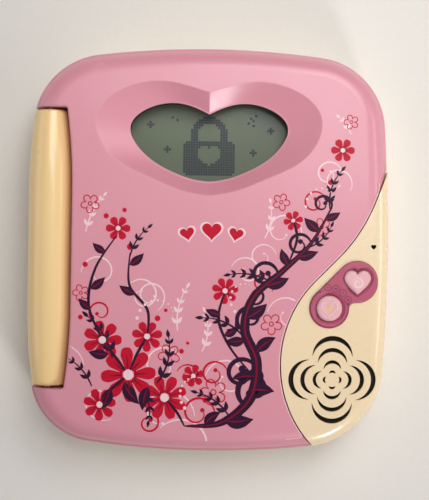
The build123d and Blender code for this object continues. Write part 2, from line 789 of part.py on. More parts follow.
def make_batteries():
    """Cells that lie side by side, every other one turned round."""
    cells = []
    for x, y, turn in cell_spots():
        can = Cylinder(cell_radius, cell_length - nub_length, rotation=(90, 0, 0))
        nub = Cylinder(nub_radius, 2 * nub_length, rotation=(90, 0, 0))
        cell = Pos(x, y - turn * nub_length / 2, cell_z) * can
        cells.append(cell + Pos(x, y + turn * (cell_length / 2 - nub_length), cell_z) * nub)
    return Compound(cells)


def make_battery_contacts():
    """A plate and a cone of spring at each end of each cell."""
    pieces = []
    reach = bay_spring_room - spring_gap
    for x, y, turn in cell_spots():
        for side in (-1, 1):
            tip = nub_radius - 0.3 if side == turn else nub_radius + 0.5
            plate = Pos(x, y + side * (bay_depth / 2 - 0.3), cell_z) * Box(10, 0.6, 10)
            coil = Cone(nub_radius + 1.5, tip, reach, rotation=(90 * side, 0, 0))
            pieces.append(plate + Pos(x, y + side * (bay_depth / 2 - reach / 2), cell_z) * coil)
    return Compound(pieces)


def make_battery_door():
    body = prism(door_plan(part_gap), foot_height, foot_height + door_thickness)
    body -= post(door_screw, screw_head_radius + 0.3, foot_height - 1, foot_height + 1.0)
    body -= post(door_screw, screw_radius + 0.2, 0, foot_height + door_thickness + 1)
    for i in range(4):
        groove = (bay_centre[0], bay_centre[1] - 0.3 * bay_depth - i * 2.6)
        body -= block(groove, 18, 1.2, 0, foot_height + 0.5)
    return body


def make_latch_solenoid():
    half = solenoid_height / 2
    tunnel_half = bolt_height / 2 + bolt_gap
    body = block((latch_x, solenoid_y), solenoid_width, solenoid_length, latch_z - half, latch_z + half)
    mouth = (latch_x, solenoid_y - bolt_grip)
    tunnel_width = bolt_width + 2 * bolt_gap
    return body - block(mouth, tunnel_width, solenoid_length, latch_z - tunnel_half, latch_z + tunnel_half)


def make_latch_bolt():
    half = bolt_height / 2
    middle = (latch_x, bolt_tip + bolt_length / 2)
    body = block(middle, bolt_width, bolt_length, latch_z - half, latch_z + half)
    collar = (latch_x, bolt_tip + collar_place + collar_thickness / 2)
    width = bolt_width + 2 * collar_size
    half += collar_size
    return body + block(collar, width, collar_thickness, latch_z - half, latch_z + half)


def make_latch_spring():
    """A light coil between the bolt's collar and the solenoid, drawn as a sleeve."""
    near = bolt_tip + collar_place + collar_thickness + spring_gap
    far = solenoid_y - solenoid_length / 2 - spring_gap
    outer = Cylinder(spring_radius, far - near, rotation=(90, 0, 0))
    inner = Cylinder(spring_radius - spring_wall, far - near + 1, rotation=(90, 0, 0))
    return Pos(latch_x, (near + far) / 2, latch_z) * (outer - inner)


def make_all():
    pieces = {}
    pieces["bottom_case"] = make_bottom_case()
    pieces["upper_case"] = make_upper_case()
    pieces["deck_plate"] = make_deck_plate()
    pieces["spine_barrel"] = make_spine_barrel()
    pieces["control_bezel"] = make_control_bezel()
    head_z = foot_height + case_screw_z
    length = case_screw_reach - parting_z / 2
    spots = deck_screw_spots + panel_screw_spots
    pieces["case_screws"] = Compound([screw(spot, head_z, length) for spot in spots])
    pieces["rubber_feet"] = Compound([post(spot, foot_radius, 0, foot_thickness) for spot in foot_spots])
    pieces["main_board"] = make_main_board()
    pieces["button_board"] = make_button_board()
    pieces["loudspeaker"] = make_loudspeaker()
    top = dome_height(microphone_centre, panel_drop + case_wall) - microphone_drop
    pieces["microphone"] = post(microphone_centre, microphone_radius, top - microphone_height, top)
    pieces["lcd_module"] = make_lcd_module()
    pieces["lcd_lens"] = make_lcd_lens()
    pieces["keypad_mat"] = make_keypad_mat()
    pieces["batteries"] = make_batteries()
    pieces["battery_contacts"] = make_battery_contacts()
    pieces["latch_solenoid"] = make_latch_solenoid()
    ends = (barrel_half - pin_grip, barrel_half + pin_reach)
    pieces["hinge_pins"] = Compound([hinge_rod(pin_radius, *ends, side) for side in (-1, 1)])
    pieces["cover_shell"] = make_cover_shell()
    pieces["cover_liner"] = make_cover_liner()
    pieces["cover_screws"] = Compound([screw(spot, cover_screw_z, 5) for spot in cover_screw_spots])
    pieces["battery_door"] = make_battery_door()
    pieces["battery_door_screw"] = screw(door_screw, foot_height + 1.0, 7)
    pieces["latch_bolt"] = make_latch_bolt()
    pieces["latch_spring"] = make_latch_spring()
    pieces["heart_button"] = make_button(heart_centre, button_heart)
    pieces["round_button"] = make_button(round_centre, button_disc)
    for name, centre, width, depth in find_keys():
        pieces[name] = make_key(centre, width, depth)
    return pieces


os.makedirs("parts", exist_ok=True)
for name, piece in make_all().items():
    export_step(piece, f"parts/{name}.step")
    print(name, round(piece.volume))
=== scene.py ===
import math
import bmesh
import bpy
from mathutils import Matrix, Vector
from mathutils.bvhtree import BVHTree


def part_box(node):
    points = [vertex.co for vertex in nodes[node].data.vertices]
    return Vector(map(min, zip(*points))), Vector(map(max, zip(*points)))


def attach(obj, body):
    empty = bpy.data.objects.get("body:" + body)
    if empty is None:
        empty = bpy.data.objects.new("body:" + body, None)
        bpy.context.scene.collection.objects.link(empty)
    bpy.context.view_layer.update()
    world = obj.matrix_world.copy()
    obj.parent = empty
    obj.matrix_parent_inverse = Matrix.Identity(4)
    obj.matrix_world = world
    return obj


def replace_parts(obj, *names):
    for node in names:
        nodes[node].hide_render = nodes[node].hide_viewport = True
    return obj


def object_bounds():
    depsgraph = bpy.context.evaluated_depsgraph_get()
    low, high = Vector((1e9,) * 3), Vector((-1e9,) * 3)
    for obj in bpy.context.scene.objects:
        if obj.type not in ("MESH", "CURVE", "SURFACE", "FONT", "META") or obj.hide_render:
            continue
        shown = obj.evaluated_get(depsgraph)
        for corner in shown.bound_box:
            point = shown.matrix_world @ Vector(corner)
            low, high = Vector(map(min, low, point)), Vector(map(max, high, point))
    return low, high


# An electronic secret diary with a pink cover, cream case and cream barrel hinge.
# Lengths in the dictionaries are millimetres and become metres where a mesh is made.

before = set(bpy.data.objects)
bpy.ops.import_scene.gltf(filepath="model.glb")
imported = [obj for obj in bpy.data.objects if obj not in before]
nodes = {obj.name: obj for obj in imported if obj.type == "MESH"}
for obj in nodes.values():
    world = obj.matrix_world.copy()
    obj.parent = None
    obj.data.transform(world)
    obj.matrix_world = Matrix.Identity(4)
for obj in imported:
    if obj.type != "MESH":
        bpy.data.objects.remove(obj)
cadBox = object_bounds()
mm = 0.001
print("frame loaded:", len(nodes), "nodes")


def nodeTree(nodeName):
    # a CAD node's mesh, ready for rays
    bm = bmesh.new()
    bm.from_mesh(nodes[nodeName].data)
    tree = BVHTree.FromBMesh(bm)
    bm.free()
    return tree


def srgb(red, green, blue):
    # display values 0-255 to the linear numbers that colour sockets take
    linear = []
    for value in (red, green, blue):
        share = value / 255
        linear.append(share / 12.92 if share <= 0.04 else ((share + 0.055) / 1.055) ** 2.4)
    return (*linear, 1)


# ---- finishes

def joinNodes(tree, start, end):
    tree.links.new(start, end)


def addNoise(tree, coordinates, scale, detail=3.0):
    noise = tree.nodes.new("ShaderNodeTexNoise")
    noise.inputs["Scale"].default_value = scale
    noise.inputs["Detail"].default_value = detail
    joinNodes(tree, coordinates, noise.inputs["Vector"])
    return noise.outputs["Fac"]


def addRange(tree, value, fromLow, fromHigh, toLow, toHigh):
    mapped = tree.nodes.new("ShaderNodeMapRange")
    for socket, number in (("From Min", fromLow), ("From Max", fromHigh), ("To Min", toLow), ("To Max", toHigh)):
        mapped.inputs[socket].default_value = number
    joinNodes(tree, value, mapped.inputs["Value"])
    return mapped.outputs["Result"]


def addMix(tree, share, first, second):
    mix = tree.nodes.new("ShaderNodeMix")
    mix.data_type = "RGBA"
    joinNodes(tree, share, mix.inputs["Factor"])
    for socket, colour in (("A", first), ("B", second)):
        slot = [entry for entry in mix.inputs if entry.name == socket and entry.type == "RGBA"][0]
        if isinstance(colour, tuple):
            slot.default_value = colour
        else:
            joinNodes(tree, colour, slot)
    return [entry for entry in mix.outputs if entry.type == "RGBA"][0]


def addEdgeMask(tree, radius, low, high):
    # 0 on flats and 1 along edges, from how far a rounded normal leans from the true one
    bevel = tree.nodes.new("ShaderNodeBevel")
    bevel.samples = 4
    bevel.inputs["Radius"].default_value = radius
    geometry = tree.nodes.new("ShaderNodeNewGeometry")
    lean = tree.nodes.new("ShaderNodeVectorMath")
    lean.operation = "DOT_PRODUCT"
    joinNodes(tree, bevel.outputs["Normal"], lean.inputs[0])
    joinNodes(tree, geometry.outputs["Normal"], lean.inputs[1])
    return addRange(tree, lean.outputs["Value"], low, high, 1.0, 0.0)


def startMaterial(name):
    # a material with its tree, shader and object coordinates
    material = bpy.data.materials.new(name)
    material.use_nodes = True
    tree = material.node_tree
    return material, tree, tree.nodes["Principled BSDF"], tree.nodes.new("ShaderNodeTexCoord").outputs["Object"]


def mouldedPlastic(name, look):
    # slow drift and fine flake in the colour, lighter edges that are partly wear and partly a painted highlight, and
    # a faint orange-peel skin
    material, tree, shader, place = startMaterial(name)
    drift = addRange(tree, addNoise(tree, place, look["driftScale"], 2), 0.15, 0.85, 0, 1)
    colour = addMix(tree, drift, look["colour"], look["shade"])
    flake = addRange(tree, addNoise(tree, place, look["flakeScale"], 1), 0.58, 0.75, 0, look["flake"])
    colour = addMix(tree, flake, colour, look["flakeColour"])
    # lighter colour along edges: real wear on some finishes, a painted highlight along the rims on others
    if look.get("edgeWearAndHighlight"):
        edge = addEdgeMask(tree, look["edgeWearAndHighlightWidth"] * mm, 0.75, 0.99)
        patches = addRange(tree, addNoise(tree, place, 160, 3), 0.2, 0.85, 0.2, 1)
        wornAndLitEdges = tree.nodes.new("ShaderNodeMath")
        wornAndLitEdges.operation = "MULTIPLY"
        joinNodes(tree, edge, wornAndLitEdges.inputs[0])
        joinNodes(tree, patches, wornAndLitEdges.inputs[1])
        share = addRange(tree, wornAndLitEdges.outputs[0], 0, 1, 0, look["edgeWearAndHighlight"])
        colour = addMix(tree, share, colour, look["edgeWearAndHighlightColour"])
    joinNodes(tree, colour, shader.inputs["Base Color"])
    smear = addNoise(tree, place, look["smearScale"], 3)
    rough = addRange(tree, smear, 0.15, 0.85, look["roughLow"], look["roughHigh"])
    joinNodes(tree, rough, shader.inputs["Roughness"])
    skin = tree.nodes.new("ShaderNodeBump")
    skin.inputs["Strength"].default_value = look["skinStrength"]
    skin.inputs["Distance"].default_value = look["skinDepth"] * mm
    joinNodes(tree, addNoise(tree, place, look["skinScale"], 2), skin.inputs["Height"])
    if look.get("softEdge"):  # the real moulding has no knife edges
        rounding = tree.nodes.new("ShaderNodeBevel")
        rounding.samples = 6
        rounding.inputs["Radius"].default_value = look["softEdge"] * mm
        joinNodes(tree, rounding.outputs["Normal"], skin.inputs["Normal"])
    joinNodes(tree, skin.outputs["Normal"], shader.inputs["Normal"])
    shader.inputs["Coat Weight"].default_value = look["coat"]
    shader.inputs["Coat Roughness"].default_value = look["coatRoughness"]
    shader.inputs["Specular IOR Level"].default_value = look.get("specular", 0.5)
    return material


coverLook = {
    "colour": srgb(226, 152, 167), "shade": srgb(222, 146, 161), "driftScale": 14,
    "flake": 0.10, "flakeScale": 3200, "flakeColour": srgb(250, 214, 228),
    # the lighter edges on the cover are partly wear and partly a painted highlight along its rims
    "edgeWearAndHighlight": 0.35, "edgeWearAndHighlightWidth": 0.9, "edgeWearAndHighlightColour": srgb(244, 200, 212),
    "roughLow": 0.36, "roughHigh": 0.46, "smearScale": 60,
    "skinScale": 900, "skinStrength": 0.12, "skinDepth": 0.05,
    "coat": 0.4, "coatRoughness": 0.2,
}
caseLook = {
    "colour": srgb(248, 225, 188), "shade": srgb(245, 220, 181), "driftScale": 16,
    "flake": 0.04, "flakeScale": 2600, "flakeColour": srgb(255, 240, 214),
    "edgeWearAndHighlight": 0.06, "edgeWearAndHighlightWidth": 0.3, "edgeWearAndHighlightColour": srgb(250, 232, 202),
    "roughLow": 0.26, "roughHigh": 0.29, "smearScale": 70,
    "skinScale": 700, "skinStrength": 0.08, "skinDepth": 0.04,
    "coat": 0.5, "coatRoughness": 0.12,
}
inkLook = {**coverLook, "flake": 0.05, "edgeWearAndHighlight": 0, "roughLow": 0.42, "roughHigh": 0.52, "coat": 0.1, "specular": 0.15}
labelLook = {**coverLook, "flake": 0.05, "edgeWearAndHighlight": 0, "roughLow": 0.4, "roughHigh": 0.5}
plastics = {
    "coverPink": (coverLook, dict(softEdge=1.1)),
    # a paler pink for the seam bead: a painted highlight along the cover's S-shaped edge
    "seamHighlightPink": (coverLook, dict(
        colour=srgb(250, 204, 214), shade=srgb(246, 196, 207), edgeWearAndHighlight=0, roughLow=0.25, roughHigh=0.35)),
    "linerPink": (coverLook, dict(
        colour=srgb(219, 150, 170), shade=srgb(212, 141, 161), flake=0.03,
        roughLow=0.5, roughHigh=0.6, skinScale=1500, skinStrength=0.35, coat=0.0)),
    "deckPink": (coverLook, dict(
        colour=srgb(231, 172, 189), shade=srgb(226, 164, 182), roughLow=0.42, roughHigh=0.52,
        skinScale=1300, skinStrength=0.3, coat=0.05)),
    "caseCream": (caseLook, {}),
    # the barrel's cream is yellower than the case's: its own cream with a painted warm reflection
    "barrelCreamPaintedReflection": (caseLook, dict(
        colour=srgb(250, 216, 156), shade=srgb(247, 210, 146), roughLow=0.26, roughHigh=0.36)),
    "bezelRose": (coverLook, dict(
        colour=srgb(190, 88, 118), shade=srgb(181, 80, 109), flake=0.05, flakeColour=srgb(226, 140, 166),
        # the bezel's lighter edges are partly wear and partly a painted highlight along its rim
        edgeWearAndHighlight=0.2, edgeWearAndHighlightWidth=0.5, edgeWearAndHighlightColour=srgb(222, 140, 160), roughLow=0.32, roughHigh=0.42,
        softEdge=0.9)),
    "buttonPink": (coverLook, dict(
        colour=srgb(242, 188, 192), shade=srgb(237, 178, 185), flake=0.12, edgeWearAndHighlight=0,
        roughLow=0.28, roughHigh=0.36, coat=0.5, softEdge=1.6)),
    "keyCream": (caseLook, dict(
        colour=srgb(245, 226, 200), shade=srgb(240, 218, 190), roughLow=0.38, roughHigh=0.48, coat=0.1)),
    "keyRose": (coverLook, dict(
        colour=srgb(196, 96, 126), shade=srgb(188, 88, 118), flake=0.04, coat=0.15)),
    "screenGreen": (caseLook, dict(
        colour=srgb(122, 134, 104), shade=srgb(112, 124, 97), flake=0.0, edgeWearAndHighlight=0, driftScale=30,
        roughLow=0.3, roughHigh=0.4, coat=0.3)),
    "matSilicone": (caseLook, dict(
        colour=srgb(205, 204, 198), shade=srgb(196, 195, 190), edgeWearAndHighlight=0, roughLow=0.6, roughHigh=0.7, coat=0)),
    "footRubber": (caseLook, dict(
        colour=srgb(62, 60, 62), shade=srgb(50, 49, 52), flake=0.05, flakeColour=srgb(110, 106, 108),
        edgeWearAndHighlight=0.4, edgeWearAndHighlightColour=srgb(92, 90, 92), roughLow=0.7, roughHigh=0.85, skinStrength=0.5, coat=0)),
    "boardGreen": (caseLook, dict(
        colour=srgb(38, 92, 58), shade=srgb(30, 80, 50), flake=0.3, flakeScale=900,
        flakeColour=srgb(66, 124, 80), edgeWearAndHighlight=0.4, edgeWearAndHighlightColour=srgb(160, 150, 96), roughLow=0.35,
        roughHigh=0.45)),
    "speakerBlack": (caseLook, dict(
        colour=srgb(30, 29, 31), shade=srgb(22, 22, 24), flake=0.2, flakeColour=srgb(58, 56, 58),
        edgeWearAndHighlight=0.3, edgeWearAndHighlightColour=srgb(80, 78, 80), roughLow=0.6, roughHigh=0.75, skinStrength=0.5, coat=0)),
    "cellWrap": (caseLook, dict(
        colour=srgb(58, 66, 84), shade=srgb(50, 58, 76), flake=0.05, edgeWearAndHighlight=0.2,
        roughLow=0.25, roughHigh=0.35)),
    "cellCopper": (caseLook, dict(
        colour=srgb(176, 112, 66), shade=srgb(166, 102, 58), flake=0.1, flakeColour=srgb(220, 160, 110),
        edgeWearAndHighlight=0.2, roughLow=0.25, roughHigh=0.35)),
    "printPlum": (inkLook, dict(colour=srgb(54, 18, 50), shade=srgb(47, 14, 44), flakeColour=srgb(96, 56, 88))),
    "printRed": (inkLook, dict(
        colour=srgb(202, 18, 50), shade=srgb(190, 12, 44), flakeColour=srgb(228, 80, 100))),
    "printWhite": (labelLook, dict(
        colour=srgb(246, 212, 216), shade=srgb(242, 204, 210), flakeColour=srgb(255, 240, 240))),
    "printWine": (inkLook, dict(
        colour=srgb(132, 14, 48), shade=srgb(120, 10, 43), flakeColour=srgb(176, 60, 90))),
    "printYellow": (labelLook, dict(
        colour=srgb(240, 206, 120), shade=srgb(236, 196, 104), flakeColour=srgb(255, 236, 170))),
    "printMauve": (labelLook, dict(colour=srgb(128, 50, 84), shade=srgb(118, 44, 76))),
    "printBlush": (coverLook, dict(
        colour=srgb(246, 216, 216), shade=srgb(240, 206, 208), flake=0.1, edgeWearAndHighlight=0, roughLow=0.3,
        roughHigh=0.4)),
    "grilleCloth": (caseLook, dict(
        colour=srgb(20, 19, 20), shade=srgb(14, 14, 15), flake=0.3, flakeScale=1800,
        flakeColour=srgb(44, 42, 44),
        edgeWearAndHighlight=0, roughLow=0.85, roughHigh=0.95, skinScale=1800, skinStrength=0.8, coat=0)),
    "screenInk": (caseLook, dict(
        colour=srgb(50, 56, 66), shade=srgb(44, 50, 60), flake=0.0, edgeWearAndHighlight=0, roughLow=0.4, roughHigh=0.5,
        coat=0)),
}
finishes = {name: mouldedPlastic(name, {**base, **changes}) for name, (base, changes) in plastics.items()}


def brushedSteel(name):
    material, tree, shader, place = startMaterial(name)
    stretch = tree.nodes.new("ShaderNodeMapping")
    stretch.inputs["Scale"].default_value = (1, 12, 1)
    joinNodes(tree, place, stretch.inputs["Vector"])
    grain = addNoise(tree, stretch.outputs["Vector"], 900, 4)
    joinNodes(tree, addMix(tree, grain, srgb(196, 196, 200), srgb(160, 161, 166)), shader.inputs["Base Color"])
    joinNodes(tree, addRange(tree, grain, 0.3, 0.7, 0.22, 0.42), shader.inputs["Roughness"])
    shader.inputs["Metallic"].default_value = 1.0
    return material


def clearWindow(name):
    # thin clear plastic: mostly see-through, with a light gloss and a few rubbed marks
    material, tree, shader, place = startMaterial(name)
    smear = addNoise(tree, place, 45, 5)
    joinNodes(tree, addMix(tree, smear, srgb(120, 130, 122), srgb(104, 114, 108)), shader.inputs["Base Color"])
    joinNodes(tree, addRange(tree, smear, 0.35, 0.7, 0.04, 0.16), shader.inputs["Roughness"])
    shader.inputs["Alpha"].default_value = 0.1
    return material


finishes["steel"] = brushedSteel("steel")
finishes["lensClear"] = clearWindow("lensClear")
print("finishes made:", len(finishes))

# ---- CAD nodes that keep their shape

nodeFinish = {
    "cover_shell": "coverPink", "cover_liner": "linerPink", "spine_barrel": "barrelCreamPaintedReflection",
    "upper_case": "caseCream", "bottom_case": "caseCream", "battery_door": "caseCream", "deck_plate": "deckPink",
    "control_bezel": "bezelRose", "heart_button": "buttonPink", "round_button": "buttonPink",
    "loudspeaker": "speakerBlack", "microphone": "speakerBlack", "latch_solenoid": "speakerBlack",
    "main_board": "boardGreen", "button_board": "boardGreen", "keypad_mat": "matSilicone",
    "lcd_module": "screenGreen", "lcd_lens": "lensClear", "rubber_feet": "footRubber", "batteries": "cellWrap",
    "battery_contacts": "steel", "case_screws": "steel", "cover_screws": "steel", "battery_door_screw": "steel",
    "hinge_pins": "steel", "latch_bolt": "steel", "latch_spring": "steel",
}
roseKeys = ("key_delete", "key_enter", "key_space", "key_up", "key_down", "key_left", "key_right")
for nodeName, node in nodes.items():
    finish = nodeFinish.get(nodeName, "keyRose" if nodeName in roseKeys else "keyCream")
    node.data.materials.clear()
    node.data.materials.append(finishes[finish])
print("CAD nodes finished")


# ---- meshes

def addPiece(name, bm, finish, body, turnFaces=True):
    mesh = bpy.data.meshes.new(name)
    if turnFaces:
        bmesh.ops.recalc_face_normals(bm, faces=bm.faces)
    bm.to_mesh(mesh)
    bm.free()
    piece = bpy.data.objects.new(name, mesh)
    bpy.context.collection.objects.link(piece)
    mesh.materials.append(finishes[finish])
    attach(piece, body)
    return piece


def skinRows(bm, rows):
    # faces between each ring of points and the next
    for lower, upper in zip(rows, rows[1:]):
        for i in range(len(lower)):
            j = (i + 1) % len(lower)
            bm.faces.new((lower[i], lower[j], upper[j], upper[i]))


def addLathe(bm, profile, origin, along, sides=32):
    # a profile of (radius, distance along the axis), turned about the axis
    turn = Vector(along).to_track_quat("Z", "Y").to_matrix()
    rows = []
    for radius, reach in profile:
        row = []
        for i in range(sides):
            angle = 2 * math.pi * i / sides
            spot = turn @ Vector((radius * math.cos(angle), radius * math.sin(angle), reach)) + Vector(origin)
            row.append(bm.verts.new(spot * mm))
        rows.append(row)
    skinRows(bm, rows)
    bm.faces.new(rows[0][::-1])
    bm.faces.new(rows[-1])


def addTube(bm, path, radius, sides=10):
    # a round wire along a path
    rows = []
    for i, spot in enumerate(path):
        before, after = path[max(i - 1, 0)], path[min(i + 1, len(path) - 1)]
        turn = (after - before).to_track_quat("Z", "Y").to_matrix()
        row = []
        for k in range(sides):
            angle = 2 * math.pi * k / sides
            ring = turn @ Vector((radius * math.cos(angle), radius * math.sin(angle), 0))
            row.append(bm.verts.new((spot + ring) * mm))
        rows.append(row)
    skinRows(bm, rows)
    bm.faces.new(rows[0][::-1])
    bm.faces.new(rows[-1])


def shadeSoft(bm, sharpAngle=0.6):
    # smooth faces that meet in sharp edges only past an angle
    bmesh.ops.recalc_face_normals(bm, faces=bm.faces)
    for face in bm.faces:
        face.smooth = True
    for edge in bm.edges:
        edge.smooth = edge.calc_face_angle(0) < sharpAngle


def middle(nodeName):
    low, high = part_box(nodeName)
    return Vector([(a + b) / 2 for a, b in zip(low, high)])


def surfaceUnder(nodeName, flatness=0.85):
    # the height of a CAD node's top surface at any place, in millimetres
    tree = nodeTree(nodeName)

    def height(x, y):
        hit = tree.ray_cast(Vector((x * mm, y * mm, 0.1)), Vector((0, 0, -1)))
        return hit[0].z / mm if hit[0] and hit[1].z > flatness else None  # print keeps off steep slopes
    return height


def strokeLifts(sheet):
    # strokes that cross lie a hair above one another, so no two share a plane
    parent = list(range(len(sheet["points"])))

    def first(index):
        while parent[index] != index:
            parent[index] = parent[parent[index]]
            index = parent[index]
        return index

    for face in sheet["faces"]:
        for index in face[1:]:
            a, b = first(face[0]), first(index)
            parent[max(a, b)] = min(a, b)
    order = {}
    return [0.005 * (order.setdefault(first(index), len(order)) % 6) for index in range(len(parent))]


def layFlat(name, sheet, finish, body, height, rise, thickness=0.12):
    # flat print: every point drops on the surface, then the sheet gets a thickness that sinks into it
    bm = bmesh.new()
    points = []
    lifts = strokeLifts(sheet)
    for (x, y), lift in zip(sheet["points"], lifts):
        level = height(x, y)
        points.append(bm.verts.new((x * mm, y * mm, (level + rise + lift) * mm)) if level else None)
    for face in sheet["faces"]:
        corners = [points[index] for index in face]
        if None not in corners:  # a print stops where its surface does
            bm.faces.new(corners)
    for face in bm.faces:
        face.normal_update()
        if face.normal.z < 0:
            face.normal_flip()
    solid = addPiece(name, bm, finish, body, False).modifiers.new("thickness", "SOLIDIFY")
    solid.thickness = thickness * mm
    solid.offset = -1


def newSheet():
    return {"points": [], "faces": []}


def spotAt(centre, reach, angle):
    return (centre[0] + reach * math.cos(angle), centre[1] + reach * math.sin(angle))


def turned(x, y, angle):
    return (x * math.cos(angle) - y * math.sin(angle), x * math.sin(angle) + y * math.cos(angle))


def addStroke(sheet, path, widths):
    # a ribbon along a path, with a width at each point
    start = len(sheet["points"])
    count = len(path)
    for i, (x, y) in enumerate(path):
        before = path[max(i - 1, 0)]
        after = path[min(i + 1, count - 1)]
        along = Vector((after[0] - before[0], after[1] - before[1])).normalized()
        across = Vector((-along.y, along.x)) * widths[i] / 2
        for side in (-1, 0, 1):
            sheet["points"].append((x + across.x * side, y + across.y * side))
    for i in range(count - 1):
        row = start + 3 * i
        sheet["faces"].append((row, row + 1, row + 4, row + 3))
        sheet["faces"].append((row + 1, row + 2, row + 5, row + 4))


def smoothPath(points, steps=12):
    # a curve through every point
    ends = [points[0]] + list(points) + [points[-1]]
    path = []
    for i in range(1, len(ends) - 2):
        p0, p1, p2, p3 = (Vector(ends[i + k]) for k in (-1, 0, 1, 2))
        for step in range(steps):
            t = step / steps
            spot = 0.5 * (2 * p1 + (p2 - p0) * t + (2 * p0 - 5 * p1 + 4 * p2 - p3) * t ** 2
                          + (3 * p1 - p0 - 3 * p2 + p3) * t ** 3)
            path.append((spot.x, spot.y))
    path.append(tuple(points[-1]))
    return path


def curlPath(start, heading, radius, turns, shrink=0.35, hand=1, steps=40):
    # a tendril that rolls up into a spiral; heading is in degrees
    path = [start]
    angle = math.radians(heading)
    x, y = start
    total = abs(turns) * 2 * math.pi
    for i in range(steps):
        share = (i + 0.5) / steps
        bend = radius * (1 - (1 - shrink) * share)
        stepAngle = total / steps
        x += bend * stepAngle * math.cos(angle)
        y += bend * stepAngle * math.sin(angle)
        angle += hand * stepAngle
        path.append((x, y))
    return path


def taper(count, width, start=0.15, end=0.05, peak=0.4):
    # a width for each point: thin ends and a swell at the peak
    widths = []
    for i in range(count):
        share = i / (count - 1)
        if share < peak:
            level = start + (1 - start) * math.sin(share / peak * math.pi / 2)
        else:
            level = end + (1 - end) * math.cos((share - peak) / (1 - peak) * math.pi / 2)
        widths.append(width * level)
    return widths


def addLeaf(sheet, base, heading, length, width, bend=0.0):
    path = []
    angle = math.radians(heading)
    x, y = base
    steps = 14
    for i in range(steps + 1):
        path.append((x, y))
        angle += math.radians(bend) / steps
        x += length / steps * math.cos(angle)
        y += length / steps * math.sin(angle)
    widths = [width * max(0.04, math.sin(math.pi * (i / steps) ** 0.8)) for i in range(steps + 1)]
    addStroke(sheet, path, widths)


def addPetal(sheet, centre, heading, start, length, width):
    # a round-ended petal that is narrow at the centre
    angle = math.radians(heading)
    steps = 12
    path = []
    widths = []
    for i in range(steps + 1):
        share = i / steps
        reach = start + length * math.sin(share * math.pi / 2)
        path.append(spotAt(centre, reach, angle))
        swell = math.cos(share * math.pi / 2) ** 0.55 * (0.3 + 0.7 * min(1, share * 2.2))
        widths.append(width * max(0.03, swell))
    addStroke(sheet, path, widths)


def addDisc(sheet, centre, radius, sides=20):
    start = len(sheet["points"])
    sheet["points"].append(tuple(centre))
    for i in range(sides):
        angle = 2 * math.pi * i / sides
        sheet["points"].append(spotAt(centre, radius, angle))
    for i in range(sides):
        sheet["faces"].append((start, start + 1 + i, start + 1 + (i + 1) % sides))


def addRing(sheet, centre, radius, width, sides=28, first=0.0, last=360.0):
    path = []
    for i in range(sides + 1):
        angle = math.radians(first + (last - first) * i / sides)
        path.append(spotAt(centre, radius, angle))
    addStroke(sheet, path, [width] * (sides + 1))


def heartPath(centre, size, turn=0.0, steps=36):
    # a closed heart, size across its lobes
    path = []
    lean = math.radians(turn)
    for i in range(steps):
        t = 2 * math.pi * i / steps
        x = size * 0.5 * math.sin(t) ** 3
        y = size * (0.40625 * math.cos(t) - 0.15625 * math.cos(2 * t) - 0.0625 * math.cos(3 * t)
                    - 0.03 * math.cos(4 * t))
        path.append((centre[0] + x * math.cos(lean) - y * math.sin(lean),
                     centre[1] + x * math.sin(lean) + y * math.cos(lean)))
    return path


def addHeart(sheet, centre, size, turn=0.0):
    start = len(sheet["points"])
    sheet["points"].append(tuple(centre))
    path = heartPath(centre, size, turn)
    sheet["points"].extend(path)
    for i in range(len(path)):
        sheet["faces"].append((start, start + 1 + i, start + 1 + (i + 1) % len(path)))


def addDaisy(ink, centre, radius, petals, turn=0.0):
    # full petals with a dark vein each, and a pale middle with a ring of seeds
    for i in range(petals):
        heading = turn + 360 * i / petals
        addPetal(ink["red"], centre, heading, radius * 0.2, radius * 0.8, radius * 4.4 / petals)
        angle = math.radians(heading)
        vein = [spotAt(centre, reach, angle) for reach in (radius * 0.24, radius * 0.45, radius * 0.72)]
        addStroke(ink["wine"], vein, [radius * 0.07, radius * 0.05, radius * 0.01])
        seed = math.radians(heading + 180 / petals)
        addDisc(ink["wine"], spotAt(centre, radius * 0.29, seed), radius * 0.035, 8)
    addDisc(ink["light"], centre, radius * 0.19)


def addBlossomLine(sheet, centre, radius, petals, width, turn=0.0):
    # a blossom drawn with one line, and a small ring in its middle
    path = []
    steps = petals * 12
    for i in range(steps + 1):
        angle = 2 * math.pi * i / steps
        reach = radius * (0.42 + 0.58 * abs(math.sin(petals * angle / 2)) ** 0.6)
        lean = angle + math.radians(turn)
        path.append(spotAt(centre, reach, lean))
    addStroke(sheet, path, [width] * len(path))
    addRing(sheet, centre, radius * 0.2, width, 16)


def addSpray(sheet, base, heading, length, bend, pairs, leaf):
    # a curved stem with pairs of leaves that get smaller towards its tip
    path = [base]
    headings = [heading]
    steps = 24
    for i in range(steps):
        angle = headings[-1] + bend / steps
        x, y = path[-1]
        reach = length / steps
        path.append(spotAt((x, y), reach, math.radians(angle)))
        headings.append(angle)
    addStroke(sheet, path, taper(len(path), leaf * 0.16, 0.7, 0.4, 0.2))
    for pair in range(pairs):
        share = (pair + 0.8) / (pairs + 0.4)
        spot = round(share * steps)
        size = leaf * (1 - 0.5 * share)
        for side in (-1, 1):
            addLeaf(sheet, path[spot], headings[spot] + side * 50, size, size * 0.42, -side * 25)
    addLeaf(sheet, path[-1], headings[-1], leaf * 0.7, leaf * 0.3)


def addDotChain(sheet, start, heading, radius, turns, hand, dots, size):
    # dots that shrink along a curl
    path = curlPath(start, heading, radius, turns, 0.4, hand, dots)
    for i, spot in enumerate(path):
        addDisc(sheet, spot, size * (1 - 0.75 * i / dots), 12)


def addHeartRing(sheet, centre, size, width):
    outer = heartPath(centre, size)
    inner = heartPath(centre, size - 2 * width)
    start = len(sheet["points"])
    sheet["points"].extend(outer + inner)
    count = len(outer)
    for i in range(count):
        j = (i + 1) % count
        sheet["faces"].append((start + i, start + j, start + count + j, start + count + i))


# ---- print on the cover

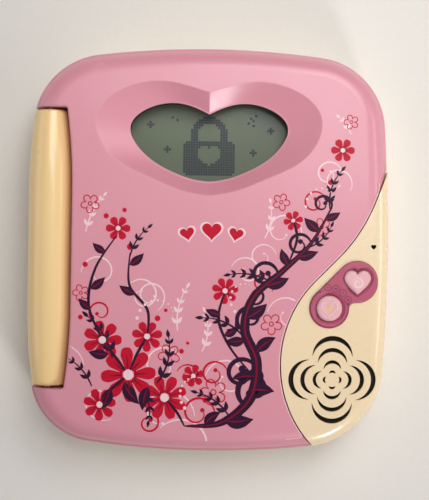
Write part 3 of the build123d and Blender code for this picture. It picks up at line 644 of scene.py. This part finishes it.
def addCurls(sheet, curls, shrink, ends, tip):
    # tapered spirals that end in a dot; ends holds the taper's start, end and peak
    for start, heading, radius, turns, hand, width in curls:
        path = curlPath(start, heading, radius, turns, shrink, hand)
        addStroke(sheet, path, taper(len(path), width, *ends))
        addDisc(sheet, path[-1], width * tip)


def addVeinedLeaves(ink, leaves):
    for base, heading, length, width, bend in leaves:
        addLeaf(ink["plum"], base, heading, length, width, bend)
        addLeaf(ink["wine"], base, heading, length * 0.86, width * 0.12, bend)


coverTop = surfaceUnder("cover_shell")
coverPrint = {name: newSheet() for name in ("white", "red", "wine", "plum", "light")}

# the thick vine climbs beside the S curve
vine = {
    "points": [(-10, -87), (8, -85), (22, -73), (25, -55), (19, -39), (23, -23), (37, -10), (51, 4), (61, 22)],
    "width": 5.2,
    "curls": [
        ((21, -77), 150, 9, 1.1, -1, 2.8), ((25, -58), 120, 8, 1.2, 1, 2.2), ((19, -40), 150, 7, 1.15, -1, 2.0),
        ((35, -12), 100, 7, 1.1, 1, 1.8), ((51, 4), 110, 6, 1.2, 1, 1.6), ((60, 20), 60, 5, 1.2, 1, 1.4),
        ((24, -66), 10, 4.5, 1.1, 1, 1.5), ((22, -26), -20, 4.5, 1.0, 1, 1.3),
    ],
    "leaves": [
        ((10, -84), -12, 14, 7, 30), ((22, -69), 15, 12, 6.5, -30), ((25, -50), 60, 12, 6, -40),
        ((20, -33), 20, 12, 6, 30), ((29, -17), 5, 12, 6, 25), ((44, -3), 5, 11, 5, 20), ((55, 10), 150, 10, 5, -20),
        ((0, -86), 60, 10, 5, -40), ((24, -62), 170, 11, 5.5, 30), ((19, -44), 200, 10, 5, -30),
        ((58, 16), 10, 8, 4, 30), ((40, -7), 130, 9, 4.4, -30),
    ],
    "sprays": [
        ((18, -42), 130, 22, 50, 4, 6.0), ((31, -15), 150, 20, 40, 4, 5.4), ((60, 21), 100, 20, -50, 4, 5.0),
        ((12, -82), 120, 20, 45, 4, 5.6), ((50, 2), 20, 15, 45, 3, 4.6),
    ],
}


def makeVine(look):
    sheet = coverPrint["plum"]
    path = smoothPath(look["points"])
    addStroke(sheet, path, taper(len(path), look["width"], 0.1, 0.12, 0.3))
    addCurls(sheet, look["curls"], 0.3, (0.5, 0.25, 0.2), 0.75)
    addVeinedLeaves(coverPrint, look["leaves"])
    for spray in look["sprays"]:
        addSpray(sheet, *spray)
    # a lighter line runs along the vine and gives it roundness
    addStroke(coverPrint["wine"], path, taper(len(path), look["width"] * 0.2, 0.1, 0.1, 0.3))


# daisies low on the left, with sprays that rise towards the barrel
garden = {
    "daisies": [
        (-38, -62, 13.5, 8, 5), (-20, -73, 11, 8, 20), (-51, -45, 9.5, 7, 0), (-29, -43, 7.5, 7, 12),
        (-52, -77, 8, 7, 10), (-44, 10, 6, 6, 0), (9, -20, 6.5, 7, 10), (66, 50, 5.8, 6, 0), (42, 15, 4.8, 6, 10),
        (-6, -62, 5.5, 6, 15),
    ],
    "stems": [
        ((-51, -45), (-58, -28), (-55, -10), (-45, 6)), ((-29, -43), (-29, -30), (-38, -18), (-38, -2)),
        ((-38, -62), (-47, -70), (-52, -77)), ((9, -20), (6, -34), (12, -48), (22, -60)),
        ((-20, -73), (-14, -80), (-10, -87)), ((-51, -45), (-44, -54), (-38, -62)),
        ((-29, -43), (-34, -52), (-38, -62)), ((42, 15), (44, 6), (40, -6)),
    ],
    "leaves": [
        ((-57, -30), 150, 8, 4, -20), ((-57, -20), 30, 9, 4.4, 20), ((-50, -2), 160, 8, 3.8, -30),
        ((-35, -22), 170, 9, 4.2, -30), ((-38, -8), 30, 9, 4.2, 20), ((-47, -69), -100, 11, 5.5, -20),
        ((-40, -66), -70, 13, 6, 30), ((-28, -68), -120, 12, 5.5, 30), ((-48, -52), 190, 10, 5, -30),
        ((7, -32), 170, 8, 4, -20), ((9, -42), 20, 8, 4, 20),
    ],
    "sprays": [
        ((-46, -54), 100, 24, 40, 4, 6.0), ((-24, -66), 50, 24, 50, 4, 6.0), ((-38, -4), 80, 17, -40, 3, 4.6),
        ((-56, -68), 110, 18, 40, 3, 5.0), ((-30, -70), -60, 15, -40, 3, 5.0),
    ],
    "berries": [(-38, 1, 1.6), (-41, 19, 1.1), (-50, 16, 1.3), (-60, -8, 1.3), (-24, -34, 1.4), (-20, -30, 0.9),
                (-62, -34, 1.2), (-12, -50, 1.2), (-9, -46, 0.8), (0, -74, 1.3), (60, 34, 1.2), (56, 40, 0.9)],
}


def makeGarden(look):
    for x, y, radius, petals, turn in look["daisies"]:
        addDaisy(coverPrint, (x, y), radius, petals, turn)
    for points in look["stems"]:
        path = smoothPath(points)
        addStroke(coverPrint["plum"], path, taper(len(path), 1.4, 0.5, 0.35, 0.4))
    addVeinedLeaves(coverPrint, look["leaves"])
    for spray in look["sprays"]:
        addSpray(coverPrint["plum"], *spray)
    for x, y, radius in look["berries"]:
        addDisc(coverPrint["red"], (x, y), radius)


# light tendrils, red curls and blossoms drawn in line fill the ground between them
filling = {
    "tendrils": [
        ((-22, -88), 40, 16, 0.75, -1, 1.0), ((-5, -82), 100, 15, 0.8, 1, 1.0), ((0, -62), 70, 11, 1.1, -1, 0.9),
        ((-12, -54), 120, 10, 1.2, 1, 0.9), ((30, -30), 70, 10, 1.1, -1, 0.8), ((-60, -58), 100, 12, 0.9, 1, 0.8),
        ((-40, -20), 60, 9, 1.2, -1, 0.8), ((46, 6), 80, 10, 1.0, 1, 0.8), ((66, 38), 100, 7, 1.2, 1, 0.8),
        ((-62, -12), 80, 9, 1.1, -1, 0.8), ((-24, -30), 40, 8, 1.2, 1, 0.8), ((12, -8), 60, 8, 1.1, -1, 0.8),
        ((-46, -84), 200, 10, 0.9, -1, 0.8), ((34, -2), 110, 7, 1.2, 1, 0.7), ((70, 30), 70, 8, 1.0, 1, 0.7),
    ],
    "whiteSprays": [
        ((-14, -40), 100, 22, -40, 4, 4.6), ((-2, -50), 60, 20, 50, 4, 4.4), ((-60, 8), 80, 20, -30, 4, 4.0),
        ((28, 6), 60, 18, 40, 3, 4.0), ((70, 58), 110, 10, 30, 2, 3.4),
    ],
    "redCurls": [
        ((4, -85), 70, 9, 1.2, 1, 1.1), ((11, -60), 110, 7, 1.2, 1, 1.0), ((58, 26), 120, 6, 1.2, 1, 0.9),
        ((-30, -80), 10, 6, 1.2, -1, 1.0), ((-56, -36), 130, 6, 1.1, -1, 0.9), ((32, -20), 60, 6, 1.2, 1, 0.9),
        ((-14, -60), 60, 6, 1.2, -1, 0.9),
    ],
    "blossoms": [(4, -70, 6.5, 5, 0.55, 0), (32, -36, 5.2, 5, 0.5, 20), (-18, -52, 5.4, 5, 0.5, 10),
                 (56, 12, 4.4, 5, 0.45, 0), (-58, 22, 4.6, 5, 0.5, 15), (-62, -22, 4.0, 5, 0.45, 0),
                 (36, 24, 4.2, 5, 0.45, 30), (70, 64, 3.6, 5, 0.4, 0)],
    "chains": [((-34, -34), 70, 12, 0.5, -1, 9, 0.9), ((14, -30), 120, 10, 0.5, -1, 8, 0.8),
               ((-10, -78), 120, 12, 0.4, -1, 9, 0.9), ((48, 22), 80, 10, 0.5, -1, 8, 0.7)],
    "hearts": [(-10, 8, 7, 12), (2, 9.5, 9.5, 0), (14, 8, 7, -12)],
}


def makeFilling(look):
    addCurls(coverPrint["white"], look["tendrils"], 0.25, (0.4, 0.3, 0.3), 0.7)
    for spray in look["whiteSprays"]:
        addSpray(coverPrint["white"], *spray)
    addCurls(coverPrint["red"], look["redCurls"], 0.3, (0.4, 0.3, 0.3), 1)
    for x, y, radius, petals, width, turn in look["blossoms"]:
        addBlossomLine(coverPrint["red"], (x, y), radius, petals, width, turn)
    for chain in look["chains"]:
        addDotChain(coverPrint["light"], *chain)
    for x, y, size, turn in look["hearts"]:  # a row of hearts in place of lettering
        addHeart(coverPrint["white"], (x, y), size + 2.2, turn)
        addHeart(coverPrint["red"], (x, y), size, turn)


makeVine(vine)
makeGarden(garden)
makeFilling(filling)
printLayers = {
    "coverPrintWhite": ("white", "printWhite", 0.05), "coverPrintRed": ("red", "printRed", 0.08),
    "coverPrintPlum": ("plum", "printPlum", 0.11), "coverPrintWine": ("wine", "printWine", 0.14),
    "coverPrintLight": ("light", "printWhite", 0.17),
}
for name, (sheetName, finish, rise) in printLayers.items():
    layFlat(name, coverPrint[sheetName], finish, "cover", coverTop, rise)
print("cover printed")

# ---- screen

domeRadius = 2000.0  # of the cover and the side panel
screenLook = {"dot": 1.14, "pitch": 1.24, "columns": 31, "rows": 20, "rise": 0.05}
lensMiddle = middle("lcd_lens") / mm
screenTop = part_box("lcd_module")[1][2] / mm


def padlockDots(column, row):
    # a padlock with a heart keyhole, and small plus signs round it
    body = abs(column) <= 10 and -12 <= row <= 1 and abs(column) + abs(row + 5.5) < 16
    across, up = column / 4.2, (row + 5) / 3.6
    hole = (across ** 2 + up ** 2 - 1) ** 3 < across ** 2 * up ** 3
    reach = math.hypot(column, max(row - 4, 0))
    shackle = row > 1 and 4.6 <= reach <= 7.4
    if shackle or (body and not hole):
        return True
    for plusColumn, plusRow in ((-24, 8), (25, 6), (-17, -2), (18, -3)):
        if abs(column - plusColumn) + abs(row - plusRow) <= 1:
            return True
    return (column, row) in ((17, 11), (19, 12), (18, 10), (16, 9), (18, 8), (-15, 11), (-13, 10))


def makeScreenPicture(look):
    sheet = newSheet()
    half = look["dot"] / 2
    for column in range(-look["columns"], look["columns"] + 1):
        for row in range(-look["rows"], look["rows"]):
            if padlockDots(column, row):
                x = lensMiddle.x + column * look["pitch"]
                y = lensMiddle.y + row * look["pitch"]
                start = len(sheet["points"])
                for dx, dy in ((-half, -half), (half, -half), (half, half), (-half, half)):
                    sheet["points"].append((x + dx, y + dy))
                sheet["faces"].append((start, start + 1, start + 2, start + 3))
    layFlat("screenPicture", sheet, "screenInk", "base", lambda x, y: screenTop, look["rise"], 0.04)


makeScreenPicture(screenLook)

# ---- black sleeve under the heart-shaped lip, a dark piece that is painted shade for the deep well

shadeSleeveLook = {"top": 31.98, "bottom": 24.95, "gap": 0.12, "wall": 0.7, "lipLevel": 32.8, "steps": 120}


def lipRing(look):
    # where level rays from the middle of the screen meet the edge of the lip
    tree = nodeTree("cover_shell")
    ring = []
    start = Vector((lensMiddle.x, lensMiddle.y, look["lipLevel"])) * mm
    for i in range(look["steps"]):
        angle = 2 * math.pi * i / look["steps"] + math.pi / 2
        hit = tree.ray_cast(start, Vector((math.cos(angle), math.sin(angle), 0)))
        ring.append((hit[0].x / mm, hit[0].y / mm))
    return ring


def offsetRing(ring, distance):
    moved = []
    count = len(ring)
    for i in range(count):
        before, after = Vector(ring[i - 1]), Vector(ring[(i + 1) % count])
        along = (after - before).normalized()
        moved.append((ring[i][0] + along.y * distance, ring[i][1] - along.x * distance))
    return moved


def makeShadeSleeve(look):
    ring = lipRing(look)
    inner = offsetRing(ring, look["gap"])
    outer = offsetRing(ring, look["gap"] + look["wall"])
    bm = bmesh.new()
    rows = []
    top, bottom = look["top"], look["bottom"]
    for points, level in ((inner, top), (inner, bottom), (outer, bottom), (outer, top)):
        rows.append([bm.verts.new((x * mm, y * mm, level * mm)) for x, y in points])
    skinRows(bm, rows + rows[:1])
    # the sleeve is black to stand in for the shade inside the well under the lip
    piece = addPiece("lipShadeSleeve", bm, "speakerBlack", "cover")
    rounding = piece.modifiers.new("rounding", "BEVEL")
    rounding.width = 0.12 * mm
    rounding.segments = 2
    rounding.limit_method = "ANGLE"


makeShadeSleeve(shadeSleeveLook)
print("screen and sleeve made")

# ---- bead along the cover's S-shaped edge, in a paler pink that is a painted highlight

seamLook = {"first": -97.5, "last": 36.0, "step": 0.75, "drop": 4.0, "back": 1.5, "sink": 0.28, "radius": 0.3,
            "inset": 0.35}


def makeSeamBead(look):
    # level rays from the right find the edge, and a thin round bead follows it; its pale colour is a painted
    # highlight line
    tree = nodeTree("cover_shell")
    path = []
    level = cadBox[1][2] / mm - look["drop"]
    steps = int((look["last"] - look["first"]) / look["step"])
    for i in range(steps + 1):
        y = look["first"] + i * look["step"]
        hit = tree.ray_cast(Vector((0.12, y * mm, level * mm)), Vector((-1, 0, 0)))
        if not hit[0]:
            continue
        top = coverTop(hit[0].x / mm - look["back"], y)
        if top:
            path.append(Vector((hit[0].x / mm - look["inset"], y, top - look["sink"])))
    bead = bmesh.new()
    addTube(bead, path, look["radius"])
    shadeSoft(bead)
    addPiece("coverSeamBead", bead, "seamHighlightPink", "cover")


# ---- side panel

bezelTop = surfaceUnder("control_bezel", 0.3)
roundTop = surfaceUnder("round_button", 0.3)
heartTop = surfaceUnder("heart_button", 0.3)
roundMiddle = middle("round_button") / mm
heartMiddle = middle("heart_button") / mm
markLook = {"ringReach": 10.2, "ring": 1.7, "line": 0.34, "rise": 0.04, "angles": (96, 72, 49, 25)}
arcLook = {"reach": 9.35, "line": 0.4, "first": 126, "last": 368}


def spotAround(centre, reach, degrees):
    return spotAt(centre, reach, math.radians(degrees))


def makeBezelMarks(look, arc):
    sheet = newSheet()
    spots = [spotAround(roundMiddle, look["ringReach"], angle) for angle in look["angles"]]
    for spot in spots:
        addRing(sheet, spot, look["ring"], look["line"])
    # a bar, a small square, two clock hands and a dot
    x, y = spots[0]
    addStroke(sheet, [(x - 0.8, y), (x + 0.8, y)], [0.35, 0.35])
    x, y = spots[1]
    addStroke(sheet, [(x - 0.55, y), (x + 0.55, y)], [1.0, 1.0])
    x, y = spots[2]
    addStroke(sheet, [(x, y + 0.9), (x, y), (x + 0.6, y - 0.2)], [0.3, 0.3, 0.3])
    addDisc(sheet, spots[3], 0.6)
    addRing(sheet, roundMiddle.xy, arc["reach"], arc["line"], 60, arc["first"], arc["last"])
    for degrees, turn in ((arc["first"], -90), (arc["last"], 90)):
        addLeaf(sheet, spotAround(roundMiddle, arc["reach"], degrees), degrees + turn, 1.8, 1.3)
    layFlat("bezelMarks", sheet, "printMauve", "base", bezelTop, look["rise"], 0.1)


def makeButtonMarks():
    # a raised heart line with a small yellow heart on the round button, a pale swirl on the other
    ridge = newSheet()
    addHeartRing(ridge, roundMiddle.xy, 8.6, 0.6)
    layFlat("roundButtonRidge", ridge, "printBlush", "round_button", roundTop, 0.3, 0.4)
    core = newSheet()
    addHeart(core, roundMiddle.xy, 3.0)
    layFlat("roundButtonHeart", core, "printYellow", "round_button", roundTop, 0.04, 0.08)
    swirl = newSheet()
    x, y = heartMiddle.x, heartMiddle.y
    path = curlPath((x - 2.6, y + 0.6), 60, 2.9, 1.6, 0.2, -1)
    addStroke(swirl, path, taper(len(path), 1.1, 0.2, 0.3, 0.5))
    layFlat("heartButtonSwirl", swirl, "printBlush", "heart_button", heartTop, 0.04, 0.08)


makeSeamBead(seamLook)
makeBezelMarks(markLook, arcLook)
makeButtonMarks()

clothLook = {"reach": 23.0, "lobe": 0.15, "depth": 3.35, "steps": 96, "rings": 4}


def makeGrilleCloth(look):
    # a black cloth with four lobes, close under the slots of the loudspeaker grille
    centre = middle("loudspeaker") / mm
    crown = cadBox[1][2] / mm
    bm = bmesh.new()
    rows = []
    for ring in range(1, look["rings"] + 1):
        row = []
        for i in range(look["steps"]):
            angle = 2 * math.pi * i / look["steps"]
            reach = look["reach"] * (1 - look["lobe"] + look["lobe"] * math.cos(4 * angle)) * ring / look["rings"]
            x = centre.x + reach * math.cos(angle)
            y = centre.y + reach * math.sin(angle)
            level = crown - look["depth"] - (x * x + y * y) / (2 * domeRadius)
            row.append(bm.verts.new((x * mm, y * mm, level * mm)))
        rows.append(row)
    for inner, outer in zip(rows, rows[1:]):
        for i in range(look["steps"]):
            j = (i + 1) % look["steps"]
            bm.faces.new((inner[i], outer[i], outer[j], inner[j]))
    bm.faces.new(rows[0])
    piece = addPiece("grilleCloth", bm, "grilleCloth", "base")
    solid = piece.modifiers.new("thickness", "SOLIDIFY")
    solid.thickness = 0.25 * mm


makeGrilleCloth(clothLook)
print("side panel made")

# ---- key legends

legendLook = {"size": 4.6, "rise": 0.03, "thickness": 0.08}


def textSheet(text, size):
    # the builtin font as flat faces about the origin, in millimetres
    curve = bpy.data.curves.new("legendText", "FONT")
    curve.body = text
    curve.size = size
    curve.align_x = "CENTER"
    curve.align_y = "CENTER"
    curve.resolution_u = 4
    holder = bpy.data.objects.new("legendText", curve)
    bpy.context.collection.objects.link(holder)
    bpy.context.view_layer.update()
    shape = holder.evaluated_get(bpy.context.evaluated_depsgraph_get()).to_mesh()
    sheet = {"points": [(vertex.co.x, vertex.co.y) for vertex in shape.vertices],
             "faces": [tuple(face.vertices) for face in shape.polygons]}
    xs = [x for x, y in sheet["points"]]
    ys = [y for x, y in sheet["points"]]
    holder.evaluated_get(bpy.context.evaluated_depsgraph_get()).to_mesh_clear()
    bpy.data.objects.remove(holder)
    bpy.data.curves.remove(curve)
    shift = ((min(xs) + max(xs)) / 2, (min(ys) + max(ys)) / 2)
    sheet["points"] = [(x - shift[0], y - shift[1]) for x, y in sheet["points"]]
    return sheet


def arrowSheet(length, width, degrees):
    # a shaft and a head that point along the angle
    sheet = newSheet()
    lean = math.radians(degrees)
    outline = [(-length / 2, -width / 8), (length * 0.1, -width / 8), (length * 0.1, -width / 2), (length / 2, 0),
               (length * 0.1, width / 2), (length * 0.1, width / 8), (-length / 2, width / 8)]
    for x, y in outline:
        sheet["points"].append(turned(x, y, lean))
    sheet["faces"] = [(0, 1, 5, 6), (2, 3, 4), (1, 2, 4, 5)]
    return sheet


def heartSheet(size):
    sheet = newSheet()
    addHeart(sheet, (0, 0), size)
    return sheet


arrowTurns = {"key_right": 0, "key_up": 90, "key_left": 180, "key_down": 270, "key_delete": 180}


def makeLegends(look):
    for nodeName in sorted(nodes):
        if not nodeName.startswith("key_"):
            continue
        name = nodeName[4:]
        spot = middle(nodeName) / mm
        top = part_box(nodeName)[1][2] / mm
        if nodeName in arrowTurns:
            sheet = arrowSheet(4.6, 3.6, arrowTurns[nodeName])
        elif nodeName == "key_enter":
            sheet = heartSheet(4.4)
        elif nodeName == "key_space":
            sheet = newSheet()
            addStroke(sheet, [(-9, 0.8), (-9, -0.8), (9, -0.8), (9, 0.8)], [0.5] * 4)
        else:
            sheet = textSheet(name.upper(), look["size"])
        sheet["points"] = [(x + spot.x, y + spot.y) for x, y in sheet["points"]]
        finish = "printWhite" if nodeName in roseKeys else "printPlum"
        layFlat("legend_" + name, sheet, finish, nodeName, lambda x, y: top, look["rise"], look["thickness"])


makeLegends(legendLook)
print("keys lettered")

# ---- screws, feet, cells and contacts

def islandBoxes(nodeName):
    # the lowest and highest corner of every body of a CAD node, in millimetres
    bm = bmesh.new()
    bm.from_mesh(nodes[nodeName].data)
    bmesh.ops.remove_doubles(bm, verts=bm.verts, dist=0.00001)
    left = set(bm.verts)
    boxes = []
    while left:
        front = [left.pop()]
        members = list(front)
        while front:
            for edge in front.pop().link_edges:
                for vertex in edge.verts:
                    if vertex in left:
                        left.remove(vertex)
                        front.append(vertex)
                        members.append(vertex)
        low = Vector([min(vertex.co[axis] for vertex in members) for axis in range(3)]) / mm
        high = Vector([max(vertex.co[axis] for vertex in members) for axis in range(3)]) / mm
        boxes.append((low, high))
    bm.free()
    boxes.sort(key=lambda pair: (round(pair[0].x, 1), round(pair[0].y, 1)))
    return boxes


screwLook = {"head": 2.6, "headHeight": 1.6, "rim": 0.5, "shaft": 1.08, "core": 0.84, "pitch": 1.0, "sides": 16,
             "arm": 1.45, "armWidth": 0.34, "recess": 0.9}


def crossPoints(arm, width):
    # the outline of a cross recess, a quarter at a time
    points = []
    for turn in range(4):
        angle = math.pi / 2 * turn
        for x, y in ((arm, -width), (arm, width), (width, width)):
            points.append(turned(x, y, angle))
    return points


def addScrew(bm, spot, low, high, look):
    # a pan head that looks down, with a cross recess, and a threaded shaft above it
    def ringAt(radius, level):
        row = []
        for i in range(look["sides"] * 2):
            angle = math.pi * i / look["sides"]
            row.append(bm.verts.new((spot.x + radius * math.cos(angle), spot.y + radius * math.sin(angle), level)))
        return row

    start = len(bm.verts)
    headTop = low + look["headHeight"]
    rows = [ringAt(look["head"] - look["rim"], low), ringAt(look["head"] - look["rim"] * 0.3, low + 0.14),
            ringAt(look["head"], low + look["rim"]), ringAt(look["head"], headTop), ringAt(look["core"], headTop)]
    turns = int((high - headTop - 1.0) / look["pitch"])
    steps = turns * 4
    for step in range(1, steps + 1):
        level = headTop + step * look["pitch"] / 4
        row = ringAt(1.0, level)
        for i, vertex in enumerate(row):
            phase = (step / 4 - i / len(row)) % 1
            crest = max(0.0, 1 - abs(phase - 0.5) / 0.3)
            radius = look["core"] + (look["shaft"] - look["core"]) * crest
            vertex.co.x = spot.x + (vertex.co.x - spot.x) * radius
            vertex.co.y = spot.y + (vertex.co.y - spot.y) * radius
        rows.append(row)
    rows.append(ringAt(0.15, high))
    skinRows(bm, rows)
    bm.faces.new(rows[-1])
    mouth = [bm.verts.new((spot.x + x, spot.y + y, low)) for x, y in crossPoints(look["arm"], look["armWidth"])]
    floor = [bm.verts.new((spot.x + x * 0.6, spot.y + y * 0.8, low + look["recess"]))
             for x, y in crossPoints(look["arm"], look["armWidth"])]
    rims = []
    for loop in (rows[0], mouth, floor):
        for i in range(len(loop)):
            pair = (loop[i], loop[(i + 1) % len(loop)])
            rims.append(bm.edges.get(pair) or bm.edges.new(pair))
    bmesh.ops.triangle_fill(bm, use_beauty=True, edges=rims[:len(rows[0]) + len(mouth)])
    bmesh.ops.triangle_fill(bm, use_beauty=True, edges=rims[len(rows[0]) + len(mouth):])
    for i in range(len(mouth)):
        j = (i + 1) % len(mouth)
        bm.faces.new((mouth[i], mouth[j], floor[j], floor[i]))
    bm.verts.ensure_lookup_table()
    for index in range(start, len(bm.verts)):
        bm.verts[index].co *= mm


def makeScrews(name, nodeName, body, look):
    bm = bmesh.new()
    for low, high in islandBoxes(nodeName):
        addScrew(bm, (low + high) / 2, low.z, high.z, look)
    shadeSoft(bm)
    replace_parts(addPiece(name, bm, "steel", body), nodeName)


makeScrews("caseScrewsCross", "case_screws", "base", screwLook)
makeScrews("coverScrewsCross", "cover_screws", "cover", screwLook)
makeScrews("doorScrewCross", "battery_door_screw", "battery_door", screwLook)

footProfile = [(0.7, 0.2), (2.0, 0.2), (2.2, 0), (3.4, 0), (3.6, 0.2), (4.3, 0.2), (4.5, 0), (5.5, 0), (5.85, 0.12),
               (6.0, 0.4), (6.0, 1.8)]


def makeFeet(profile):
    # rubber pads with two rings of grip
    bm = bmesh.new()
    for low, high in islandBoxes("rubber_feet"):
        centre = (low + high) / 2
        addLathe(bm, profile, (centre.x, centre.y, low.z), (0, 0, 1), 40)
    shadeSoft(bm)
    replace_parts(addPiece("gripFeet", bm, "footRubber", "base"), "rubber_feet")


makeFeet(footProfile)

cellLook = {"radius": 7.25, "nub": 2.7, "nubLength": 1.2, "band": 13.0}


def makeCells(look):
    # every other cell is turned round; each has steel ends, a dark wrap and a copper band by its plus end
    steel, wrap, band = bmesh.new(), bmesh.new(), bmesh.new()
    radius, inner = look["radius"], look["radius"] - 0.25
    for index, (low, high) in enumerate(islandBoxes("batteries")):
        turn = 1 if index % 2 == 0 else -1
        centre = (low + high) / 2
        start = (centre.x, low.y if turn > 0 else high.y, centre.z)
        length = high.y - low.y - look["nubLength"]
        along = (0, turn, 0)
        addLathe(steel, [(2.0, 0), (radius - 1.2, 0), (inner, 0.4), (inner, length - 0.4), (radius - 1.2, length),
                         (look["nub"], length), (look["nub"], length + look["nubLength"] - 0.3),
                         (look["nub"] - 0.4, length + look["nubLength"])], start, along, 40)
        seam = length - look["band"]
        addLathe(wrap, [(inner + 0.02, 0.5), (radius, 0.7), (radius, seam), (inner + 0.02, seam)], start, along, 40)
        addLathe(band, [(inner + 0.02, seam), (radius, seam), (radius, length - 0.7), (inner + 0.02, length - 0.5)],
                 start, along, 40)
    for bm in (steel, wrap, band):
        shadeSoft(bm)
    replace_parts(addPiece("cellCans", steel, "steel", "base"), "batteries")
    addPiece("cellWraps", wrap, "cellWrap", "base")
    addPiece("cellBands", band, "cellCopper", "base")


makeCells(cellLook)

contactLook = {"plate": 9.6, "thickness": 0.5, "base": 4.0, "tip": 3.0, "wire": 0.36, "turns": 4.2, "steps": 110}


def makeContacts(look):
    # a plate at each end of each cell, with a cone of wire for the flat end or a pressed dome for the plus end
    bm = bmesh.new()
    for index, (low, high) in enumerate(islandBoxes("battery_contacts")):
        centre = (low + high) / 2
        side = 1 if centre.y > middle("batteries").y / mm else -1
        wall = high.y if side > 0 else low.y
        reach = high.y - low.y
        half = look["plate"] / 2
        made = bmesh.ops.create_cube(bm, size=1)["verts"]
        for vertex in made:
            vertex.co = Vector((centre.x + vertex.co.x * 2 * half,
                                wall - side * (0.5 + vertex.co.y) * look["thickness"],
                                centre.z + vertex.co.z * 2 * half)) * mm
        plus = side == (1 if (index // 2) % 2 == 0 else -1)
        if plus:
            profile = [(4.2, look["thickness"] - 0.1), (3.6, reach * 0.5), (2.6, reach * 0.9), (1.2, reach)]
            addLathe(bm, profile, (centre.x, wall, centre.z), (0, -side, 0), 32)
            continue
        path = []
        for i in range(look["steps"] + 1):
            share = i / look["steps"]
            angle = 2 * math.pi * look["turns"] * share
            radius = look["base"] + (look["tip"] - look["base"]) * share
            depth = look["thickness"] + look["wire"] + (reach - look["thickness"] - 2 * look["wire"]) * share
            path.append(Vector((centre.x + radius * math.cos(angle), wall - side * depth,
                                centre.z + radius * math.sin(angle))))
        addTube(bm, path, look["wire"])
    shadeSoft(bm)
    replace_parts(addPiece("contactSprings", bm, "steel", "base"), "battery_contacts")


makeContacts(contactLook)
print("screws, feet, cells and contacts made")

# ---- studio

floorLook = {"size": 3.0, "colour": srgb(236, 232, 226), "shade": srgb(231, 227, 221)}


def makeFloor(look):
    bm = bmesh.new()
    bmesh.ops.create_grid(bm, x_segments=8, y_segments=8, size=look["size"] / 2)
    mesh = bpy.data.meshes.new("studioFloor")
    bm.to_mesh(mesh)
    bm.free()
    floor = bpy.data.objects.new("studioFloor", mesh)
    bpy.context.collection.objects.link(floor)
    material, tree, shader, place = startMaterial("floorPaper")
    grain = addNoise(tree, place, 400, 3)
    joinNodes(tree, addMix(tree, grain, look["colour"], look["shade"]), shader.inputs["Base Color"])
    shader.inputs["Roughness"].default_value = 0.9
    mesh.materials.append(material)


def addSoftbox(name, place, aim, size, power, colour, spread):
    lamp = bpy.data.lights.new(name, "AREA")
    lamp.shape = "RECTANGLE"
    lamp.size, lamp.size_y = size
    lamp.energy = power
    lamp.color = colour
    lamp.spread = math.radians(spread)  # a narrow one lets its light fade towards the front
    holder = bpy.data.objects.new(name, lamp)
    bpy.context.collection.objects.link(holder)
    holder.location = place
    holder.rotation_euler = (Vector(aim) - Vector(place)).to_track_quat("-Z", "Y").to_euler()


makeFloor(floorLook)
studioLights = {
    "keyLight": ((0.24, 0.46, 0.6), (0.03, 0.13, 0.03), (0.5, 0.35), 0.27, (1, 0.97, 0.93), 50),
    "skyLight": ((0.14, 0.40, 1.1), (0.03, 0.13, 0.03), (0.7, 0.5), 0.62, (0.97, 0.98, 1), 60),
    "sideLight": ((0.72, 0.07, 0.38), (0.08, 0.02, 0.03), (0.5, 0.16), 0.22, (1, 0.99, 0.96), 80),
    "windowLight": ((0.36, -0.68, 0.46), (0.02, 0.02, 0.03), (0.15, 0.19), 0.42, (1, 0.98, 0.98), 70),
    "fillLight": ((-0.75, 0.1, 0.3), (0, 0.02, 0.03), (0.7, 0.4), 1.0, (1, 0.95, 0.9), 180),
}
for name, look in studioLights.items():
    addSoftbox(name, *look)
world = bpy.data.worlds.new("studioAir")
bpy.context.scene.world = world
world.use_nodes = True
world.node_tree.nodes["Background"].inputs["Color"].default_value = (0.95, 0.96, 1.0, 1)
world.node_tree.nodes["Background"].inputs["Strength"].default_value = 0.16
bpy.context.scene.view_settings.view_transform = "Standard"

viewpoint = {"place": (0.0035, 0.0, 0.70), "roll": 0.856, "sensor": 36.0, "lens": 96.6}
camera = bpy.data.cameras.new("viewCamera")
cameraHolder = bpy.data.objects.new("viewCamera", camera)
bpy.context.collection.objects.link(cameraHolder)
cameraHolder.location = viewpoint["place"]
cameraHolder.rotation_euler = (0, 0, math.radians(viewpoint["roll"]))
camera.sensor_fit = "VERTICAL"
camera.sensor_height = viewpoint["sensor"]
camera.lens = viewpoint["lens"]
bpy.context.scene.camera = cameraHolder
print("studio ready")
